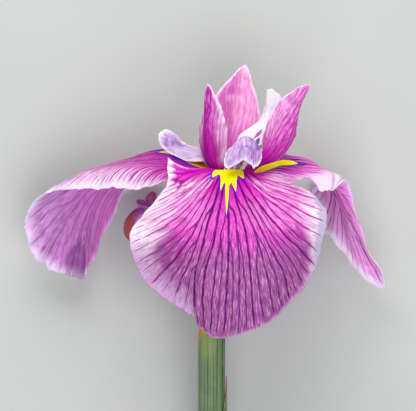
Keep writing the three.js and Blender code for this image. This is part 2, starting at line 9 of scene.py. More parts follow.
import bpy
import numpy as np
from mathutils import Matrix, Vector


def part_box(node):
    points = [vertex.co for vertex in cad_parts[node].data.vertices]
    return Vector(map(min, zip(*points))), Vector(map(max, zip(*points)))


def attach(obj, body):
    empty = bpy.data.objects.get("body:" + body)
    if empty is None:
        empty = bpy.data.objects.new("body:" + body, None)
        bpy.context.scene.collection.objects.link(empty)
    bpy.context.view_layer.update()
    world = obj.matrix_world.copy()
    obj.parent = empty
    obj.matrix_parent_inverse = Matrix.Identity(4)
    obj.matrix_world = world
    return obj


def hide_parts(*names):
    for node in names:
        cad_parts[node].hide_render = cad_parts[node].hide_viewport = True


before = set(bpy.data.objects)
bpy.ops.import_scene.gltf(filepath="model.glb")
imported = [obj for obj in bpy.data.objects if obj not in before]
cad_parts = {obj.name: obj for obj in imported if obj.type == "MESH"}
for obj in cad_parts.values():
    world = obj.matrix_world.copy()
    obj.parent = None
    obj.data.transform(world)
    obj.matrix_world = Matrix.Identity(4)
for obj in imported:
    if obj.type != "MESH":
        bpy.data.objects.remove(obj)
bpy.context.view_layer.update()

MM = 0.001

# ---- driving dimensions, as in the model ----

CLAW_RADIUS = 5.5
CLAW_HEIGHT = -4
FALL_CLAW_HALF_ANGLE = 31
STANDARD_CLAW_HALF_ANGLE = 21
STYLE_RADIUS = 2.7
STYLE_HEIGHT = -1
STYLE_HALF_ANGLE = 40
COLUMN_TOP = 2.2
SEAT_GAP = 0.3
BLADE_THICKNESS = 0.8
STEM_RADIUS = 3.2
RECEPTACLE_RADIUS = 4.1
BRACT_THICKNESS = 0.6
BRACT_OVERLAP = 3
SPATHE_X = -8.6
SEAT_HEIGHT = -118
STEM_MIDDLE = -148
STEM_END = -176
STEM_LEAN = math.radians(13.88)

# The picture is 416 by 411 pixels, and one pixel spans this much at the flower's centre.
PICTURE_WIDTH = 416
PICTURE_HEIGHT = 411
PIXEL = 0.4
CENTRE_PIXEL = (234, 168)
CAMERA_DISTANCE = 1600
SENSOR = 36

# The style column stands on the flower's axis, so its node shows where the flower's centre is.
column_low, column_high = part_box("style_column")
FLOWER_CENTRE = np.array([
    (column_low.x + column_high.x) / 2,
    column_high.y - COLUMN_TOP * MM,
    (column_low.z + column_high.z) / 2,
])

# ---- the fans of ribs, each from its claw to the margin ----

FALL_FRONT = [
    [[-7.2, -0.8, 8.2], [-12.6, -0.2, 11], [-16.8, -0.2, 13], [-21.2, 0.8, 14.5], [-26.4, 4.2, 15]],
    [[-6.4, -1, 9.2], [-12.8, -2.2, 15], [-17.6, -4.2, 18.5], [-22.4, -6.4, 20], [-27.4, -8.4, 20]],
    [[-5.6, -1.1, 10], [-12.4, -4.2, 18.5], [-18.8, -8.8, 23.5], [-27.2, -14, 25], [-36.8, -19, 22]],
    [[-4.8, -1.2, 10.6], [-11.2, -7.4, 22.5], [-17.4, -15.2, 29.5], [-28, -24, 31], [-41.2, -31, 25]],
    [[-4.1, -1.3, 11], [-9.4, -11, 26], [-14.8, -22.4, 35], [-22, -35, 38], [-32.8, -46.4, 32]],
    [[-3.4, -1.4, 11.2], [-7.2, -12.2, 27.6], [-11.2, -26, 38], [-14.8, -43.6, 41.8], [-15.4, -59.8, 38.4]],
    [[-2.8, -1.4, 11.3], [-5.4, -12.8, 28.4], [-8.4, -27.2, 39.2], [-12.6, -45.5, 43.8],
     [-12.6, -63.4, 40.8]],
    [[-2, -1.4, 11.4], [-2.6, -13, 28.6], [-3, -28.2, 39.8], [-3.4, -47, 44.6], [-5.2, -66.4, 42]],
    [[-1.1, -1.4, 11.3], [1, -12.6, 28], [4.4, -27.4, 38.8], [6.6, -45, 43.6], [8.4, -62.8, 41]],
    [[-0.1, -1.3, 11], [3.9, -11.6, 26.6], [10, -25, 36], [16.8, -39, 39.6], [21.6, -54, 36]],
    [[1.2, -1.2, 10.5], [6.2, -9.2, 23.4], [14.2, -19.6, 31], [23.6, -29.4, 33.4], [32, -39, 29.5]],
    [[2.8, -1.1, 9.8], [8, -6.6, 19.4], [16.8, -12.4, 25], [26.8, -17.6, 26.4], [36, -22, 23]],
    [[4.1, -0.9, 9], [9, -4.2, 15.4], [15.8, -7.2, 19.4], [24.8, -9.8, 20.4], [33.6, -12.4, 18.5]],
    [[5.2, -0.8, 8.2], [9.2, -2.6, 12.5], [13.6, -4, 14.6], [18.4, -5.6, 15.4], [23.6, -8, 15]],
]

FALL_LEFT = [
    [[-8.2, -2.6, 0.8], [-13.2, -2.8, 4], [-17.6, -3.6, 5.6], [-22.2, -4.6, 6.4], [-27.2, -6, 6.4]],
    [[-8.6, -2, -0.3], [-15.2, -1, 1.3], [-22.4, -0.8, 2.4], [-31.2, -1.8, 2.8], [-37, -7.8, 3.6]],
    [[-8.8, -1.5, -1.4], [-16.4, 0.4, -1.8], [-26.4, 1.2, -3.4], [-42.6, 0.2, -4.8], [-50.4, -8, -2.2]],
    [[-8.9, -1, -2.5], [-17.3, 1.9, -4.8], [-28.8, 3.4, -8.2], [-53, 0.2, -12.8], [-65.6, -8.6, -12]],
    [[-8.9, -0.7, -3.5], [-17.8, 3.1, -7.4], [-31, 5.4, -12], [-58.6, -0.8, -18.6], [-78, -11, -20]],
    [[-8.8, -0.5, -4.5], [-18, 3.8, -9.6], [-32.2, 6.8, -15.4], [-59, -4.4, -23.4], [-84.6, -23, -24]],
    [[-8.5, -0.4, -5.4], [-17.8, 4.2, -11.6], [-32.8, 7, -18.6], [-58.6, -8.4, -27.8], [-79, -38.8, -28]],
    [[-8.1, -0.3, -6.2], [-17.2, 4.6, -13.4], [-32, 6.8, -21.6], [-56.4, -10.4, -32], [-66.8, -43.6, -32]],
    [[-7.6, -0.2, -6.9], [-16.4, 5, -15], [-30.8, 6.4, -24.4], [-53.4, -11.4, -36], [-59.4, -42.6, -36.5]],
    [[-7, -0.2, -7.5], [-15.4, 5.2, -16.4], [-29, 5.8, -27], [-49.8, -10.6, -39.5], [-55, -30.8, -42]],
    [[-6.3, -0.2, -8], [-14.2, 5.2, -17.6], [-26.8, 5, -29], [-45.8, -8.2, -42], [-48.6, -18.8, -45]],
    [[-5.5, -0.2, -8.4], [-12.8, 5, -18.4], [-24.2, 4.2, -30.4], [-41, -5, -42.5], [-44.4, -8.4, -46]],
    [[-4.7, -0.3, -8.7], [-11.2, 4.6, -18.8], [-21.2, 3.4, -31], [-34, -1.4, -41], [-37.6, -2.4, -44]],
    [[-4, -0.5, -8.8], [-9.4, 4.2, -18.8], [-17.6, 3, -29.6], [-24, 0.6, -36], [-27.6, 0, -39]],
]

FALL_RIGHT = [
    [[8.2, -2.6, 0.8], [12.2, -3.6, 4.4], [15.6, -4.6, 6.2], [18.6, -5.6, 6.8], [21.6, -6.6, 6.6]],
    [[8.6, -2, -0.3], [14.4, -2, 1.6], [19.6, -2.8, 3], [24.2, -4, 3], [28.4, -4.4, 2]],
    [[8.8, -1.5, -1.4], [16.2, -0.4, -1.4], [23.8, -1.2, -1.4], [33.2, -2.4, -2.6], [35, -6.4, 0.8]],
    [[8.9, -1, -2.5], [17.6, 1.2, -4], [28.2, 0.4, -6.2], [40.2, -1.8, -7.4], [40.8, -7.6, -1.6]],
    [[8.9, -0.7, -3.5], [18.6, 2.4, -6.6], [29.6, 2.6, -9.8], [40.2, -4.4, -11.4], [45.6, -5.2, -11.4]],
    [[8.8, -0.5, -4.5], [19.4, 3.2, -8.8], [31.4, 2.6, -13.2], [42.6, -8.6, -15.4], [49, -17.6, -17.5]],
    [[8.5, -0.4, -5.4], [19.4, 3.8, -10.8], [32.2, 2.4, -16.4], [44, -12.4, -19.6], [54.8, -32.8, -21]],
    [[8.1, -0.3, -6.2], [19, 4.4, -12.6], [32.2, 2, -19.4], [43.4, -14.6, -24], [60.8, -47.4, -25.5]],
    [[7.6, -0.2, -6.9], [18.2, 4.9, -14.2], [31.4, 1.6, -22.4], [42.6, -12.6, -28.6], [49.4, -42.2, -31]],
    [[7, -0.2, -7.5], [17.2, 5.4, -15.8], [30.2, 1.8, -26], [41.4, -9.8, -33], [41.2, -29.2, -36]],
    [[6.3, -0.2, -8], [16, 5.8, -17.2], [28.6, 2.4, -29.2], [39.8, -6.6, -37], [35.2, -24.4, -39.6]],
    [[5.5, -0.2, -8.4], [14.6, 6, -18.4], [26.6, 3, -31.8], [37.8, -3.6, -40.2], [32.4, -11.6, -43]],
    [[4.7, -0.3, -8.7], [13, 5.8, -18.9], [24, 3.6, -32.4], [34.4, -1.6, -41.2], [33.4, -6.2, -44]],
    [[4, -0.5, -8.8], [11, 5.2, -18.8], [20.2, 4, -30.8], [27.4, 2, -37.4], [31.4, 0.4, -40.6]],
]

STANDARD_LEFT = [
    [[-10.6, 0.8, 2.2], [-13.4, 6, 0.8], [-14.2, 11, 0.8], [-13.8, 15.6, 1.8]],
    [[-10.4, 1.2, 3.6], [-12.6, 8.4, 3.4], [-12.8, 15.6, 4], [-12, 22.4, 4.6]],
    [[-9.8, 1.4, 5.2], [-11.6, 9.4, 6.4], [-11.6, 18.6, 7.2], [-11.4, 28, 7.4]],
    [[-8.8, 1.5, 6.2], [-10.6, 9.8, 8.2], [-10.9, 20.4, 8.9], [-10.4, 33.4, 8.4]],
    [[-7.2, 1.5, 6.6], [-8.4, 9.4, 8.4], [-8.4, 18.8, 8.8], [-7.2, 28.2, 8]],
    [[-5.5, 1.2, 6.3], [-5.6, 8.6, 7.4], [-5.2, 15.8, 7.6], [-4.4, 21.8, 6.8]],
    [[-4, 0.6, 5.7], [-3.2, 6.6, 6], [-2.9, 11.4, 6], [-3, 15.6, 5.8]],
]

STANDARD_RIGHT = [
    [[5.2, 1, 5.6], [9.8, 4.4, 4.8], [11, 8.4, 3.6], [11.8, 12.8, 2.6]],
    [[6.4, 1.2, 6], [11.4, 6.4, 6.2], [13, 12.8, 5.4], [14.4, 20.4, 4.2]],
    [[7.6, 1.4, 6.2], [12.8, 7.8, 7.4], [16, 16, 7.2], [19.2, 27.6, 5.2]],
    [[8.8, 1.5, 6], [14.6, 8.2, 8], [19.4, 18.4, 8.2], [30, 33.4, 6]],
    [[9.8, 1.3, 5.2], [16.4, 7, 7.2], [22.2, 16, 7.4], [26.8, 25.2, 5.4]],
    [[10.4, 0.9, 4], [17.4, 4.6, 5.4], [22.6, 11.2, 5.2], [25.4, 18, 3.8]],
    [[10.6, 0.6, 2.6], [16.8, 2.8, 3.4], [21.4, 7.4, 3], [25, 13, 2.2]],
]

STANDARD_BACK = [
    [[-3.4, 1, -5.9], [-6.8, 8.4, -7.8], [-8.6, 14.6, -9.4], [-9.2, 20.4, -10.6]],
    [[-2.7, 1.4, -6.4], [-5.4, 10.4, -9.6], [-7.4, 19.6, -11.6], [-7.6, 27.8, -12.4]],
    [[-1.5, 1.6, -6.9], [-3, 11.8, -11.1], [-3.8, 22.8, -13.8], [-3, 35.4, -14.2]],
    [[0, 1.7, -7.1], [0.6, 12.2, -12.1], [1.8, 24.8, -15.4], [4.4, 41.2, -15.6]],
    [[1.5, 1.6, -6.9], [4, 11.8, -11.5], [6.2, 22.6, -15.2], [7.8, 34.4, -15.4]],
    [[2.7, 1.4, -6.4], [6.2, 10.4, -10.4], [8.8, 18.8, -14.2], [9.8, 27, -14.8]],
    [[3.4, 1, -5.9], [7.6, 8.2, -9], [9.8, 13.4, -12.4], [10.6, 18.6, -13.8]],
]

STYLE_LEFT = [
    [[-6, 1.8, -0.6], [-11.6, 2.6, -1.6], [-16, 2.6, -2.8], [-19.2, 2.8, -4.4]],
    [[-6.6, 3.6, -1.8], [-12.6, 4.8, -3.6], [-18.4, 5, -5.6], [-24, 5, -7.6]],
    [[-7, 4.8, -3], [-13.4, 6.4, -5.6], [-20, 6, -8], [-29, 8.6, -9.8]],
    [[-7.2, 5.4, -4], [-13.8, 7.2, -7.2], [-20.6, 7.2, -9.8], [-30.4, 13, -10.4]],
    [[-7.2, 5.6, -5], [-13.8, 7.6, -8.8], [-20.6, 7.8, -11.4], [-26.4, 15.8, -12]],
    [[-7, 5.6, -5.8], [-13.6, 7.6, -10.2], [-19.8, 8.2, -12.8], [-22.4, 12.2, -14]],
    [[-6.6, 5.2, -6.6], [-13, 7.6, -11.2], [-17.6, 8.6, -13.2], [-19.8, 10.2, -14.4]],
    [[-6, 4.4, -7.2], [-11.8, 7.4, -11.6], [-15.2, 8.4, -13.2], [-17.2, 9, -14]],
]

STYLE_FRONT = [
    [[-1.2, 4.8, 6], [-0.6, 7.6, 10.4], [-1.4, 8, 14], [-2.4, 7, 16.6]],
    [[-0.2, 7, 6.6], [0.6, 9.4, 11.8], [-0.8, 8, 16.2], [-4, 3.2, 18.6]],
    [[1, 8.6, 7], [1.8, 11, 12.8], [0.4, 8.2, 18.2], [-2.8, -0.2, 20]],
    [[2.1, 9.4, 7.2], [3.2, 11.8, 13.4], [2.8, 8.8, 19.4], [1.4, 1.8, 21.4]],
    [[3.2, 9.6, 7.2], [4.6, 12.2, 13.6], [4.8, 9.2, 19.8], [5, 2.4, 21.8]],
    [[4.4, 9.4, 7], [6.4, 11.8, 13.2], [7, 8.4, 19], [8.2, -0.2, 20.6]],
    [[5.6, 8.2, 6.6], [8, 10.4, 12.2], [9.4, 7.6, 16.8], [10.6, 3.4, 18.8]],
    [[6.6, 6.2, 6], [9.2, 8.4, 10.8], [10.4, 8, 14.4], [10.6, 7, 16.6]],
]

STYLE_RIGHT = [
    [[5, 4.4, 0.6], [8.6, 8, -1], [12.6, 10.4, -2.4], [16.4, 13.2, -4.2]],
    [[5.4, 6.4, -0.8], [9.6, 11.4, -2.8], [14.2, 14.8, -4.8], [18.4, 19, -6.6]],
    [[5.4, 8, -2], [9.8, 13.8, -4.4], [14.6, 18.4, -7], [19.2, 25.4, -9]],
    [[5.1, 9, -3.2], [9.4, 15.2, -5.9], [14, 20.6, -8.8], [17.6, 29.8, -10.4]],
    [[4, 9.6, -4], [7.8, 15.8, -6.6], [12.5, 21, -9.8], [13.6, 31.2, -11.2]],
    [[2.6, 9.6, -4.4], [6, 15.6, -7], [10.9, 19.6, -10.3], [12.6, 25.2, -12]],
    [[1, 9.4, -4.6], [3.6, 14.4, -7.2], [8.4, 17, -10], [11.4, 19, -11.8]],
]

# Routes of the round pieces. A stamen's begins with the x and z of its foot. None stands for the height of
# the stem's top, or for the stem's depth there.
STAMENS = {
    "stamen_front": [[0, 3.9], [0.2, 0.4, 5.6], [1.2, 3, 8.4], [2, 3.2, 12.4], [2.8, 0.8, 17.2]],
    "stamen_left": [[-3.4, -2], [-5.4, 0.4, -3], [-8.8, 2, -3.6], [-12.8, 2.9, -4.6], [-16.6, 4.1, -6]],
    "stamen_right": [[3.4, -2], [5, 0.4, -2.8], [7.4, 3.2, -4], [10, 6.6, -6], [13, 10.6, -8.6]],
}

TUBE = [
    [0, -12, -0.6], [-1.4, -24, -4.4], [-3.6, -38, -8.8], [-5.8, -56, -13.8], [-6.9, -76, -18.8],
    [-7, -98, -24.2], [-7, None, None],
]

SPENT_PEDICEL = [
    [-25.4, -42.6, -17.6], [-19.4, -51, -17.4], [-14, -60, -17], [-11.9, -74, -18.4], [-11.7, -96, -23.8],
    [-11.7, None, None],
]

# Each lobe's spine, its radii, and its folds' number, depth and twist.
SPENT_LOBES = [
    ([[-25.6, -42, -17.6], [-28, -32, -18], [-31, -21, -17.4], [-33, -13.4, -17], [-32, -9.6, -17]],
     [1.7, 4.6, 5.2, 2.9, 2.2, 0.6], (5, 0.2, 6)),
    ([[-30.6, -19, -17], [-35.4, -18.8, -16], [-39.4, -21.6, -15.8], [-39.8, -26, -16.6], [-37, -29, -17.8]],
     [2.4, 3.5, 3.9, 3.7, 1.4], (6, 0.13, 7)),
    ([[-31, -17.4, -18], [-34.2, -15.4, -18.8], [-36.4, -14.4, -19]],
     [2.2, 2.2, 1], (3, 0.16, 4)),
    ([[-32, -17.6, -16.6], [-35.2, -15.8, -16], [-37.6, -14.2, -16], [-38.8, -12.8, -16.6]],
     [1.8, 2, 1.5, 0.5], (3, 0.24, 5)),
]

# ---- camera, light and floor ----

# Each lamp's name, offset from the flower's centre and width in metres, power in watts, and colour.
LAMPS = (
    ("key", (-0.12, 0.85, 0.7), 0.9, 12, (1, 0.985, 0.96)),
    ("fill", (0.15, -0.5, 0.95), 1, 8, (0.97, 0.98, 1)),
)
SKY_COLOR = (0.93, 0.96, 1, 1)
SKY_STRENGTH = 0.5
# The floor is just below the part's lowest point, also in metres.
FLOOR_WIDTH = 6
FLOOR_HEIGHT = -0.0002


def set_camera():
    """Straight above the middle of the picture, with a long lens."""
    right = (PICTURE_WIDTH / 2 - CENTRE_PIXEL[0]) * PIXEL
    up = (CENTRE_PIXEL[1] - PICTURE_HEIGHT / 2) * PIXEL
    data = bpy.data.cameras.new("camera")
    data.sensor_fit = "HORIZONTAL"
    data.sensor_width = SENSOR
    data.lens = SENSOR * CAMERA_DISTANCE / (PICTURE_WIDTH * PIXEL)
    data.clip_end = 10
    camera = bpy.data.objects.new("camera", data)
    camera.location = Vector(FLOWER_CENTRE) + Vector((right, up, CAMERA_DISTANCE)) * MM
    bpy.context.collection.objects.link(camera)
    bpy.context.scene.camera = camera


def set_lights():
    """Soft daylight from beyond the flower's top, and a weak fill from above."""
    world = bpy.data.worlds.new("soft studio")
    world.use_nodes = True
    sky = world.node_tree.nodes["Background"].inputs
    sky["Color"].default_value = SKY_COLOR
    sky["Strength"].default_value = SKY_STRENGTH
    bpy.context.scene.world = world
    bpy.context.scene.view_settings.view_transform = "Standard"
    target = Vector(FLOWER_CENTRE)
    for name, offset, width, power, color in LAMPS:
        data = bpy.data.lights.new(name, "AREA")
        data.shape = "DISK"
        data.size = width
        data.energy = power
        data.color = color
        lamp = bpy.data.objects.new(name, data)
        lamp.location = target + Vector(offset)
        lamp.rotation_euler = (target - lamp.location).to_track_quat("-Z", "Y").to_euler()
        bpy.context.collection.objects.link(lamp)


def srgb(red, green, blue):
    """A colour as a screen shows it, 0 to 255, made linear."""
    parts = (np.array([red, green, blue]) / 255.0).tolist()
    return tuple(p / 12.92 if p <= 0.04045 else ((p + 0.055) / 1.055) ** 2.4 for p in parts) + (1.0,)


# ---- shader patterns ----


def feed(tree, value, slot):
    """Give a node's input a value: a number, a Num, a socket, or a colour as srgb() takes it."""
    if isinstance(value, Num):
        value = value.socket
    if isinstance(value, bpy.types.NodeSocket):
        tree.links.new(value, slot)
    else:
        slot.default_value = srgb(*value) if isinstance(value, tuple) else value


def arithmetic(operation, *first):
    """A method of Num that makes a math node of the number, the values in first and its arguments."""
    return lambda number, *others: number.through("ShaderNodeMath", "operation", operation, *first, *others)


class Num:
    """A number on a socket of a node tree, which takes part in ordinary arithmetic."""

    def __init__(self, tree, socket):
        self.tree = tree
        self.socket = socket

    def through(self, kind, setting, choice, *others):
        """What a node with one setting makes of the number and the others."""
        node = self.tree.nodes.new(kind)
        setattr(node, setting, choice)
        for slot, value in zip(node.inputs, (self, *others)):
            feed(self.tree, value, slot)
        return Num(self.tree, node.outputs[0])

    __add__ = __radd__ = arithmetic("ADD")
    __mul__ = __rmul__ = arithmetic("MULTIPLY")
    __sub__ = arithmetic("SUBTRACT")
    __rsub__ = arithmetic("MULTIPLY_ADD", -1)  # number * -1 + other
    __truediv__ = arithmetic("DIVIDE")
    abs = arithmetic("ABSOLUTE")
    floor = arithmetic("FLOOR")
    fract = arithmetic("FRACT")
    most = arithmetic("MAXIMUM")

    def rise(self, low, high):
        """0 below low and 1 above high, with a smooth step between."""
        return self.through("ShaderNodeMapRange", "interpolation_type", "SMOOTHSTEP", low, high)

    def fall(self, low, high):
        return 1 - self.rise(low, high)


class Pattern:
    """The node tree of one material, with the calls that patterns are built from."""

    def __init__(self, name):
        self.material = bpy.data.materials.new(name)
        self.material.use_nodes = True
        self.tree = self.material.node_tree
        self.tree.nodes.clear()

    def node(self, kind, inputs, **settings):
        """A new node. inputs gives what goes into its sockets, by their names or numbers."""
        node = self.tree.nodes.new(kind)
        for key, value in settings.items():
            setattr(node, key, value)
        for key, value in inputs.items():
            feed(self.tree, value, node.inputs[key])
        return node

    def measure(self, name):
        """A number that the mesh carries at each of its points."""
        return Num(self.tree, self.node("ShaderNodeAttribute", {}, attribute_name=name).outputs["Fac"])

    def vector(self, x, y, z=0):
        return self.node("ShaderNodeCombineXYZ", {0: x, 1: y, 2: z}).outputs[0]

    def place(self):
        """The point's place on the object, in millimetres."""
        metres = self.node("ShaderNodeTexCoord", {}).outputs["Object"]
        return self.node("ShaderNodeVectorMath", {0: metres, "Scale": 1 / MM}, operation="SCALE").outputs[0]

    def parts(self, vector):
        """The three numbers of a vector."""
        return [Num(self.tree, slot) for slot in self.node("ShaderNodeSeparateXYZ", {0: vector}).outputs]

    def noise(self, vector, scale, detail, roughness=0.5):
        """Cloudy noise about 0.5, between 0 and 1."""
        inputs = {"Vector": vector, "Scale": scale, "Detail": detail, "Roughness": roughness}
        return Num(self.tree, self.node("ShaderNodeTexNoise", inputs).outputs["Fac"])

    def streaks(self, x, y, z=0, detail=2, roughness=0.5):
        """Noise over two measures of a surface. Each z has a pattern of its own."""
        return self.noise(self.vector(x, y, z), 1, detail, roughness)

    def chance(self, x, y):
        """A fixed random number between 0 and 1 for each pair of whole numbers."""
        node = self.node("ShaderNodeTexWhiteNoise", {"Vector": self.vector(x, y)}, noise_dimensions="2D")
        return Num(self.tree, node.outputs["Value"])

    def ramp(self, value, stops):
        """A number read off straight lines through stops, pairs of a place and a value, both 0 to 1."""
        node = self.node("ShaderNodeValToRGB", {0: value})
        node.color_ramp.interpolation = "LINEAR"
        elements = node.color_ramp.elements
        while len(elements) < len(stops):
            elements.new(1)
        for element, (place, level) in zip(elements, stops):
            element.position = place
            element.color = (level, level, level, 1)
        return Num(self.tree, node.outputs["Color"])

    def mix(self, first, second, share):
        """first where share is 0 and second where it is 1, both colours."""
        node = self.node("ShaderNodeMix", {"Factor": share}, data_type="RGBA")
        slots = [slot for slot in node.inputs if slot.type == "RGBA"]
        for color, slot in zip((first, second), slots):
            feed(self.tree, color, slot)
        return next(slot for slot in node.outputs if slot.type == "RGBA")

    def paint(self, ground, *layers):
        """ground under layers, each a colour and how much of it shows."""
        for color, share in layers:
            ground = self.mix(ground, color, share)
        return ground

    def bump(self, height, distance, strength):
        inputs = {"Height": height, "Distance": distance * MM, "Strength": strength}
        return self.node("ShaderNodeBump", inputs).outputs["Normal"]

    def finish(self, color, normal, roughness, specular, sheen=0, glow=0, painted_glow=0):
        """Petal or plant skin: glow is the share of light that passes through it, lit the light it gives off
        itself, a painted glow.
        """
        surface = self.node("ShaderNodeBsdfPrincipled", {
            "Base Color": color,
            "Normal": normal,
            "Roughness": roughness,
            "Specular IOR Level": specular,
            "Sheen Weight": sheen,
            "Emission Color": color,
            "Emission Strength": painted_glow,
        }).outputs[0]
        if glow:
            through = self.node("ShaderNodeBsdfTranslucent", {"Color": color}).outputs[0]
            surface = self.node("ShaderNodeMixShader", {0: glow, 1: surface, 2: through}).outputs[0]
        self.node("ShaderNodeOutputMaterial", {"Surface": surface})
        return self.material


# ---- splines and blades ----

# Over this width a blade grows from its margin's thickness to its middle's.
EDGE_WIDTH = 4


def spline_weights(count, times):
    """Rows of weights that make a natural cubic spline of evenly timed values, one row for each time."""
    bends = np.zeros((count, count))
    inner = count - 2
    if inner > 0:
        system = 4 * np.eye(inner) + np.eye(inner, k=1) + np.eye(inner, k=-1)
        turns = np.zeros((inner, count))
        for row in range(inner):
            turns[row, row:row + 3] = (6, -12, 6)
        bends[1:-1] = np.linalg.solve(system, turns)
    place = np.clip(times, 0, 1) * (count - 1)
    left = np.minimum(place.astype(int), count - 2)
    f = (place - left)[:, None]
    g = 1 - f
    eye = np.eye(count)
    return (g * eye[left] + f * eye[left + 1]
            + ((g**3 - g) * bends[left] + (f**3 - f) * bends[left + 1]) / 6)


def arc(start, end, radius, height, count):
    """Points on an arc round the flower's axis, which is Y. Azimuth 0 faces up and 90 faces left."""
    azimuth = np.radians(np.linspace(start, end, count))
    return np.stack([-radius * np.sin(azimuth), np.full(count, float(height)), radius * np.cos(azimuth)], 1)


def fan(ribs, claw, across, along):
    """A grid of points over ribs that spring from a claw, an arc's values. across and along are counts."""
    ribs = np.array(ribs, float)
    ribs = np.concatenate([arc(*claw, len(ribs))[:, None], ribs], 1)
    s = spline_weights(ribs.shape[0], np.linspace(0, 1, across))
    t = spline_weights(ribs.shape[1], np.linspace(0, 1, along))
    return np.einsum("ai,bj,ijk->abk", s, t, ribs)


def unit(vectors):
    """The vectors made 1 long."""
    return vectors / np.maximum(np.linalg.norm(vectors, axis=-1, keepdims=True), 1e-9)


def normals(grid):
    return unit(np.cross(np.gradient(grid, axis=0), np.gradient(grid, axis=1)))


def smooth_step(value, low, high):
    share = np.clip((value - low) / (high - low), 0, 1)
    return share * share * (3 - 2 * share)


def lattice_noise(x, y, seed):
    """Smooth noise between -1 and 1 with about one bump for each whole step of x and y."""
    size = 97
    values = np.random.default_rng(seed).uniform(-1, 1, (size, size))
    left = np.floor(x).astype(int)
    low = np.floor(y).astype(int)
    fx = smooth_step(x - left, 0, 1)
    fy = smooth_step(y - low, 0, 1)

    def at(i, j):
        return values[(left + i) % size, (low + j) % size]

    bottom = at(0, 0) * (1 - fx) + at(1, 0) * fx
    top = at(0, 1) * (1 - fx) + at(1, 1) * fx
    return bottom * (1 - fy) + top * fy


def lengths(grid, axis):
    """How far each grid point is from the first one along an axis, over the surface."""
    steps = np.linalg.norm(np.diff(grid, axis=axis), axis=2)
    total = np.cumsum(steps, axis=axis)
    return np.concatenate([np.zeros_like(total.take([0], axis)), total], axis)


def ruffle(grid, form):
    """Waves along the margin, pleats between the veins, small crinkles and a frayed margin."""
    across, along = grid.shape[:2]
    s = np.linspace(0, 1, across)[:, None]
    t = np.linspace(0, 1, along)[None, :]
    a = s * form["ribs"]
    reach = lengths(grid, 1)

    def noise(x, y, pattern):
        return lattice_noise(x, reach * 0 + y, form["seed"] + pattern)

    lift = form["wave_height"] * smooth_step(t, 0.6, 1) * np.sin(2 * np.pi * form["wave_count"] * s)
    lift = lift + form["pleat"] * smooth_step(t, 0.08, 0.5) * np.cos(2 * np.pi * a)
    crinkle = noise(a * form["crinkle_count"], reach / form["crinkle_length"], 0)
    lift = lift + form["crinkle"] * crinkle * smooth_step(t, 0.45, 1)
    lift = lift + noise(a * 4.3 + 7, 3.3, 1) * form["flutter"] * smooth_step(t, 0.88, 1)
    for rib, half, place, length, height in form["bumps"]:
        lift = lift + height * np.exp(-(((a - rib) / half)**2) - ((t - place) / length)**2) * form["upper"]
    moved = grid + normals(grid) * lift[..., None]
    fray = noise(a * form["frays"], 9.7, 2) + 0.6 * noise(a * 8.7, 1.2, 3)
    grow = form["fray"] * fray * smooth_step(t, 0.9, 1)
    for rib, half, length in form["pulls"]:
        grow = grow + length * np.exp(-((a - rib) / half)**2) * smooth_step(t, 0.7, 1)
    return moved + unit(np.gradient(grid, axis=1)) * grow[..., None]


def to_frame(points):
    return points * MM + FLOWER_CENTRE


def make_object(name, points, faces):
    mesh = bpy.data.meshes.new(name)
    mesh.from_pydata(points.tolist(), [], faces)
    mesh.validate()
    mesh.polygons.foreach_set("use_smooth", [True] * len(mesh.polygons))
    made = bpy.data.objects.new(name, mesh)
    bpy.context.collection.objects.link(made)
    return made


def carry(mesh, name, values):
    """Store a number for each point of a mesh, which the patterns read by its name."""
    mesh.attributes.new(name, "FLOAT", "POINT").data.foreach_set("value", np.asarray(values, float).ravel())


def grid_quads(across, along):
    """The grid's faces as corner numbers, with the normal that normals() gives."""
    i, j = np.meshgrid(np.arange(across - 1), np.arange(along - 1), indexing="ij")
    first = (i * along + j).ravel()
    return np.stack([first, first + along, first + along + 1, first + 1], 1)


def border(across, along):
    """The grid's outline as corner numbers, once round."""
    near = np.arange(across) * along
    end = (across - 1) * along + np.arange(1, along)
    far = np.arange(across - 2, -1, -1) * along + along - 1
    back = np.arange(along - 2, 0, -1)
    return np.concatenate([near, end, far, back])


def blade(name, grid, thickness, upper, materials, ribs):
    """A closed thin blade. upper says on which side of the grid its upper face lies, 1 or -1.

    thickness is a pair: in the middle and at the margin. materials is a pair: upper and lower face.
    """
    across, along = grid.shape[:2]
    reach = lengths(grid, 1)
    left = lengths(grid, 0)
    edge = np.minimum(reach[:, -1:] - reach, np.minimum(left, left[-1:] - left))
    spread = np.linalg.norm(np.gradient(grid, axis=0), axis=2) * (across - 1) / ribs
    thick = thickness[1] + (thickness[0] - thickness[1]) * smooth_step(edge, 0, EDGE_WIDTH)
    lift = normals(grid) * (thick[..., None] / 2) * upper
    points = np.concatenate([(grid + lift).reshape(-1, 3), (grid - lift).reshape(-1, 3)])
    over = grid_quads(across, along)[:, ::upper]
    under = (over + across * along)[:, ::-1]
    ring = border(across, along)
    after = np.roll(ring, -1)
    rim = np.stack([ring, ring + across * along, after + across * along, after], 1)[:, ::upper]
    made = make_object(name, to_frame(points), np.concatenate([over, under, rim]).tolist())
    for material in materials:
        made.data.materials.append(material)
    slots = np.repeat([0, 1, 0], [len(over), len(under), len(rim)])
    made.data.polygons.foreach_set("material_index", slots)
    rib, share = np.meshgrid(np.linspace(0, ribs, across), np.linspace(0, 1, along), indexing="ij")
    for key, values in {"rib": rib, "along": share, "reach": reach, "edge": edge, "spread": spread}.items():
        carry(made.data, key, np.tile(values.ravel(), 2))
    return made


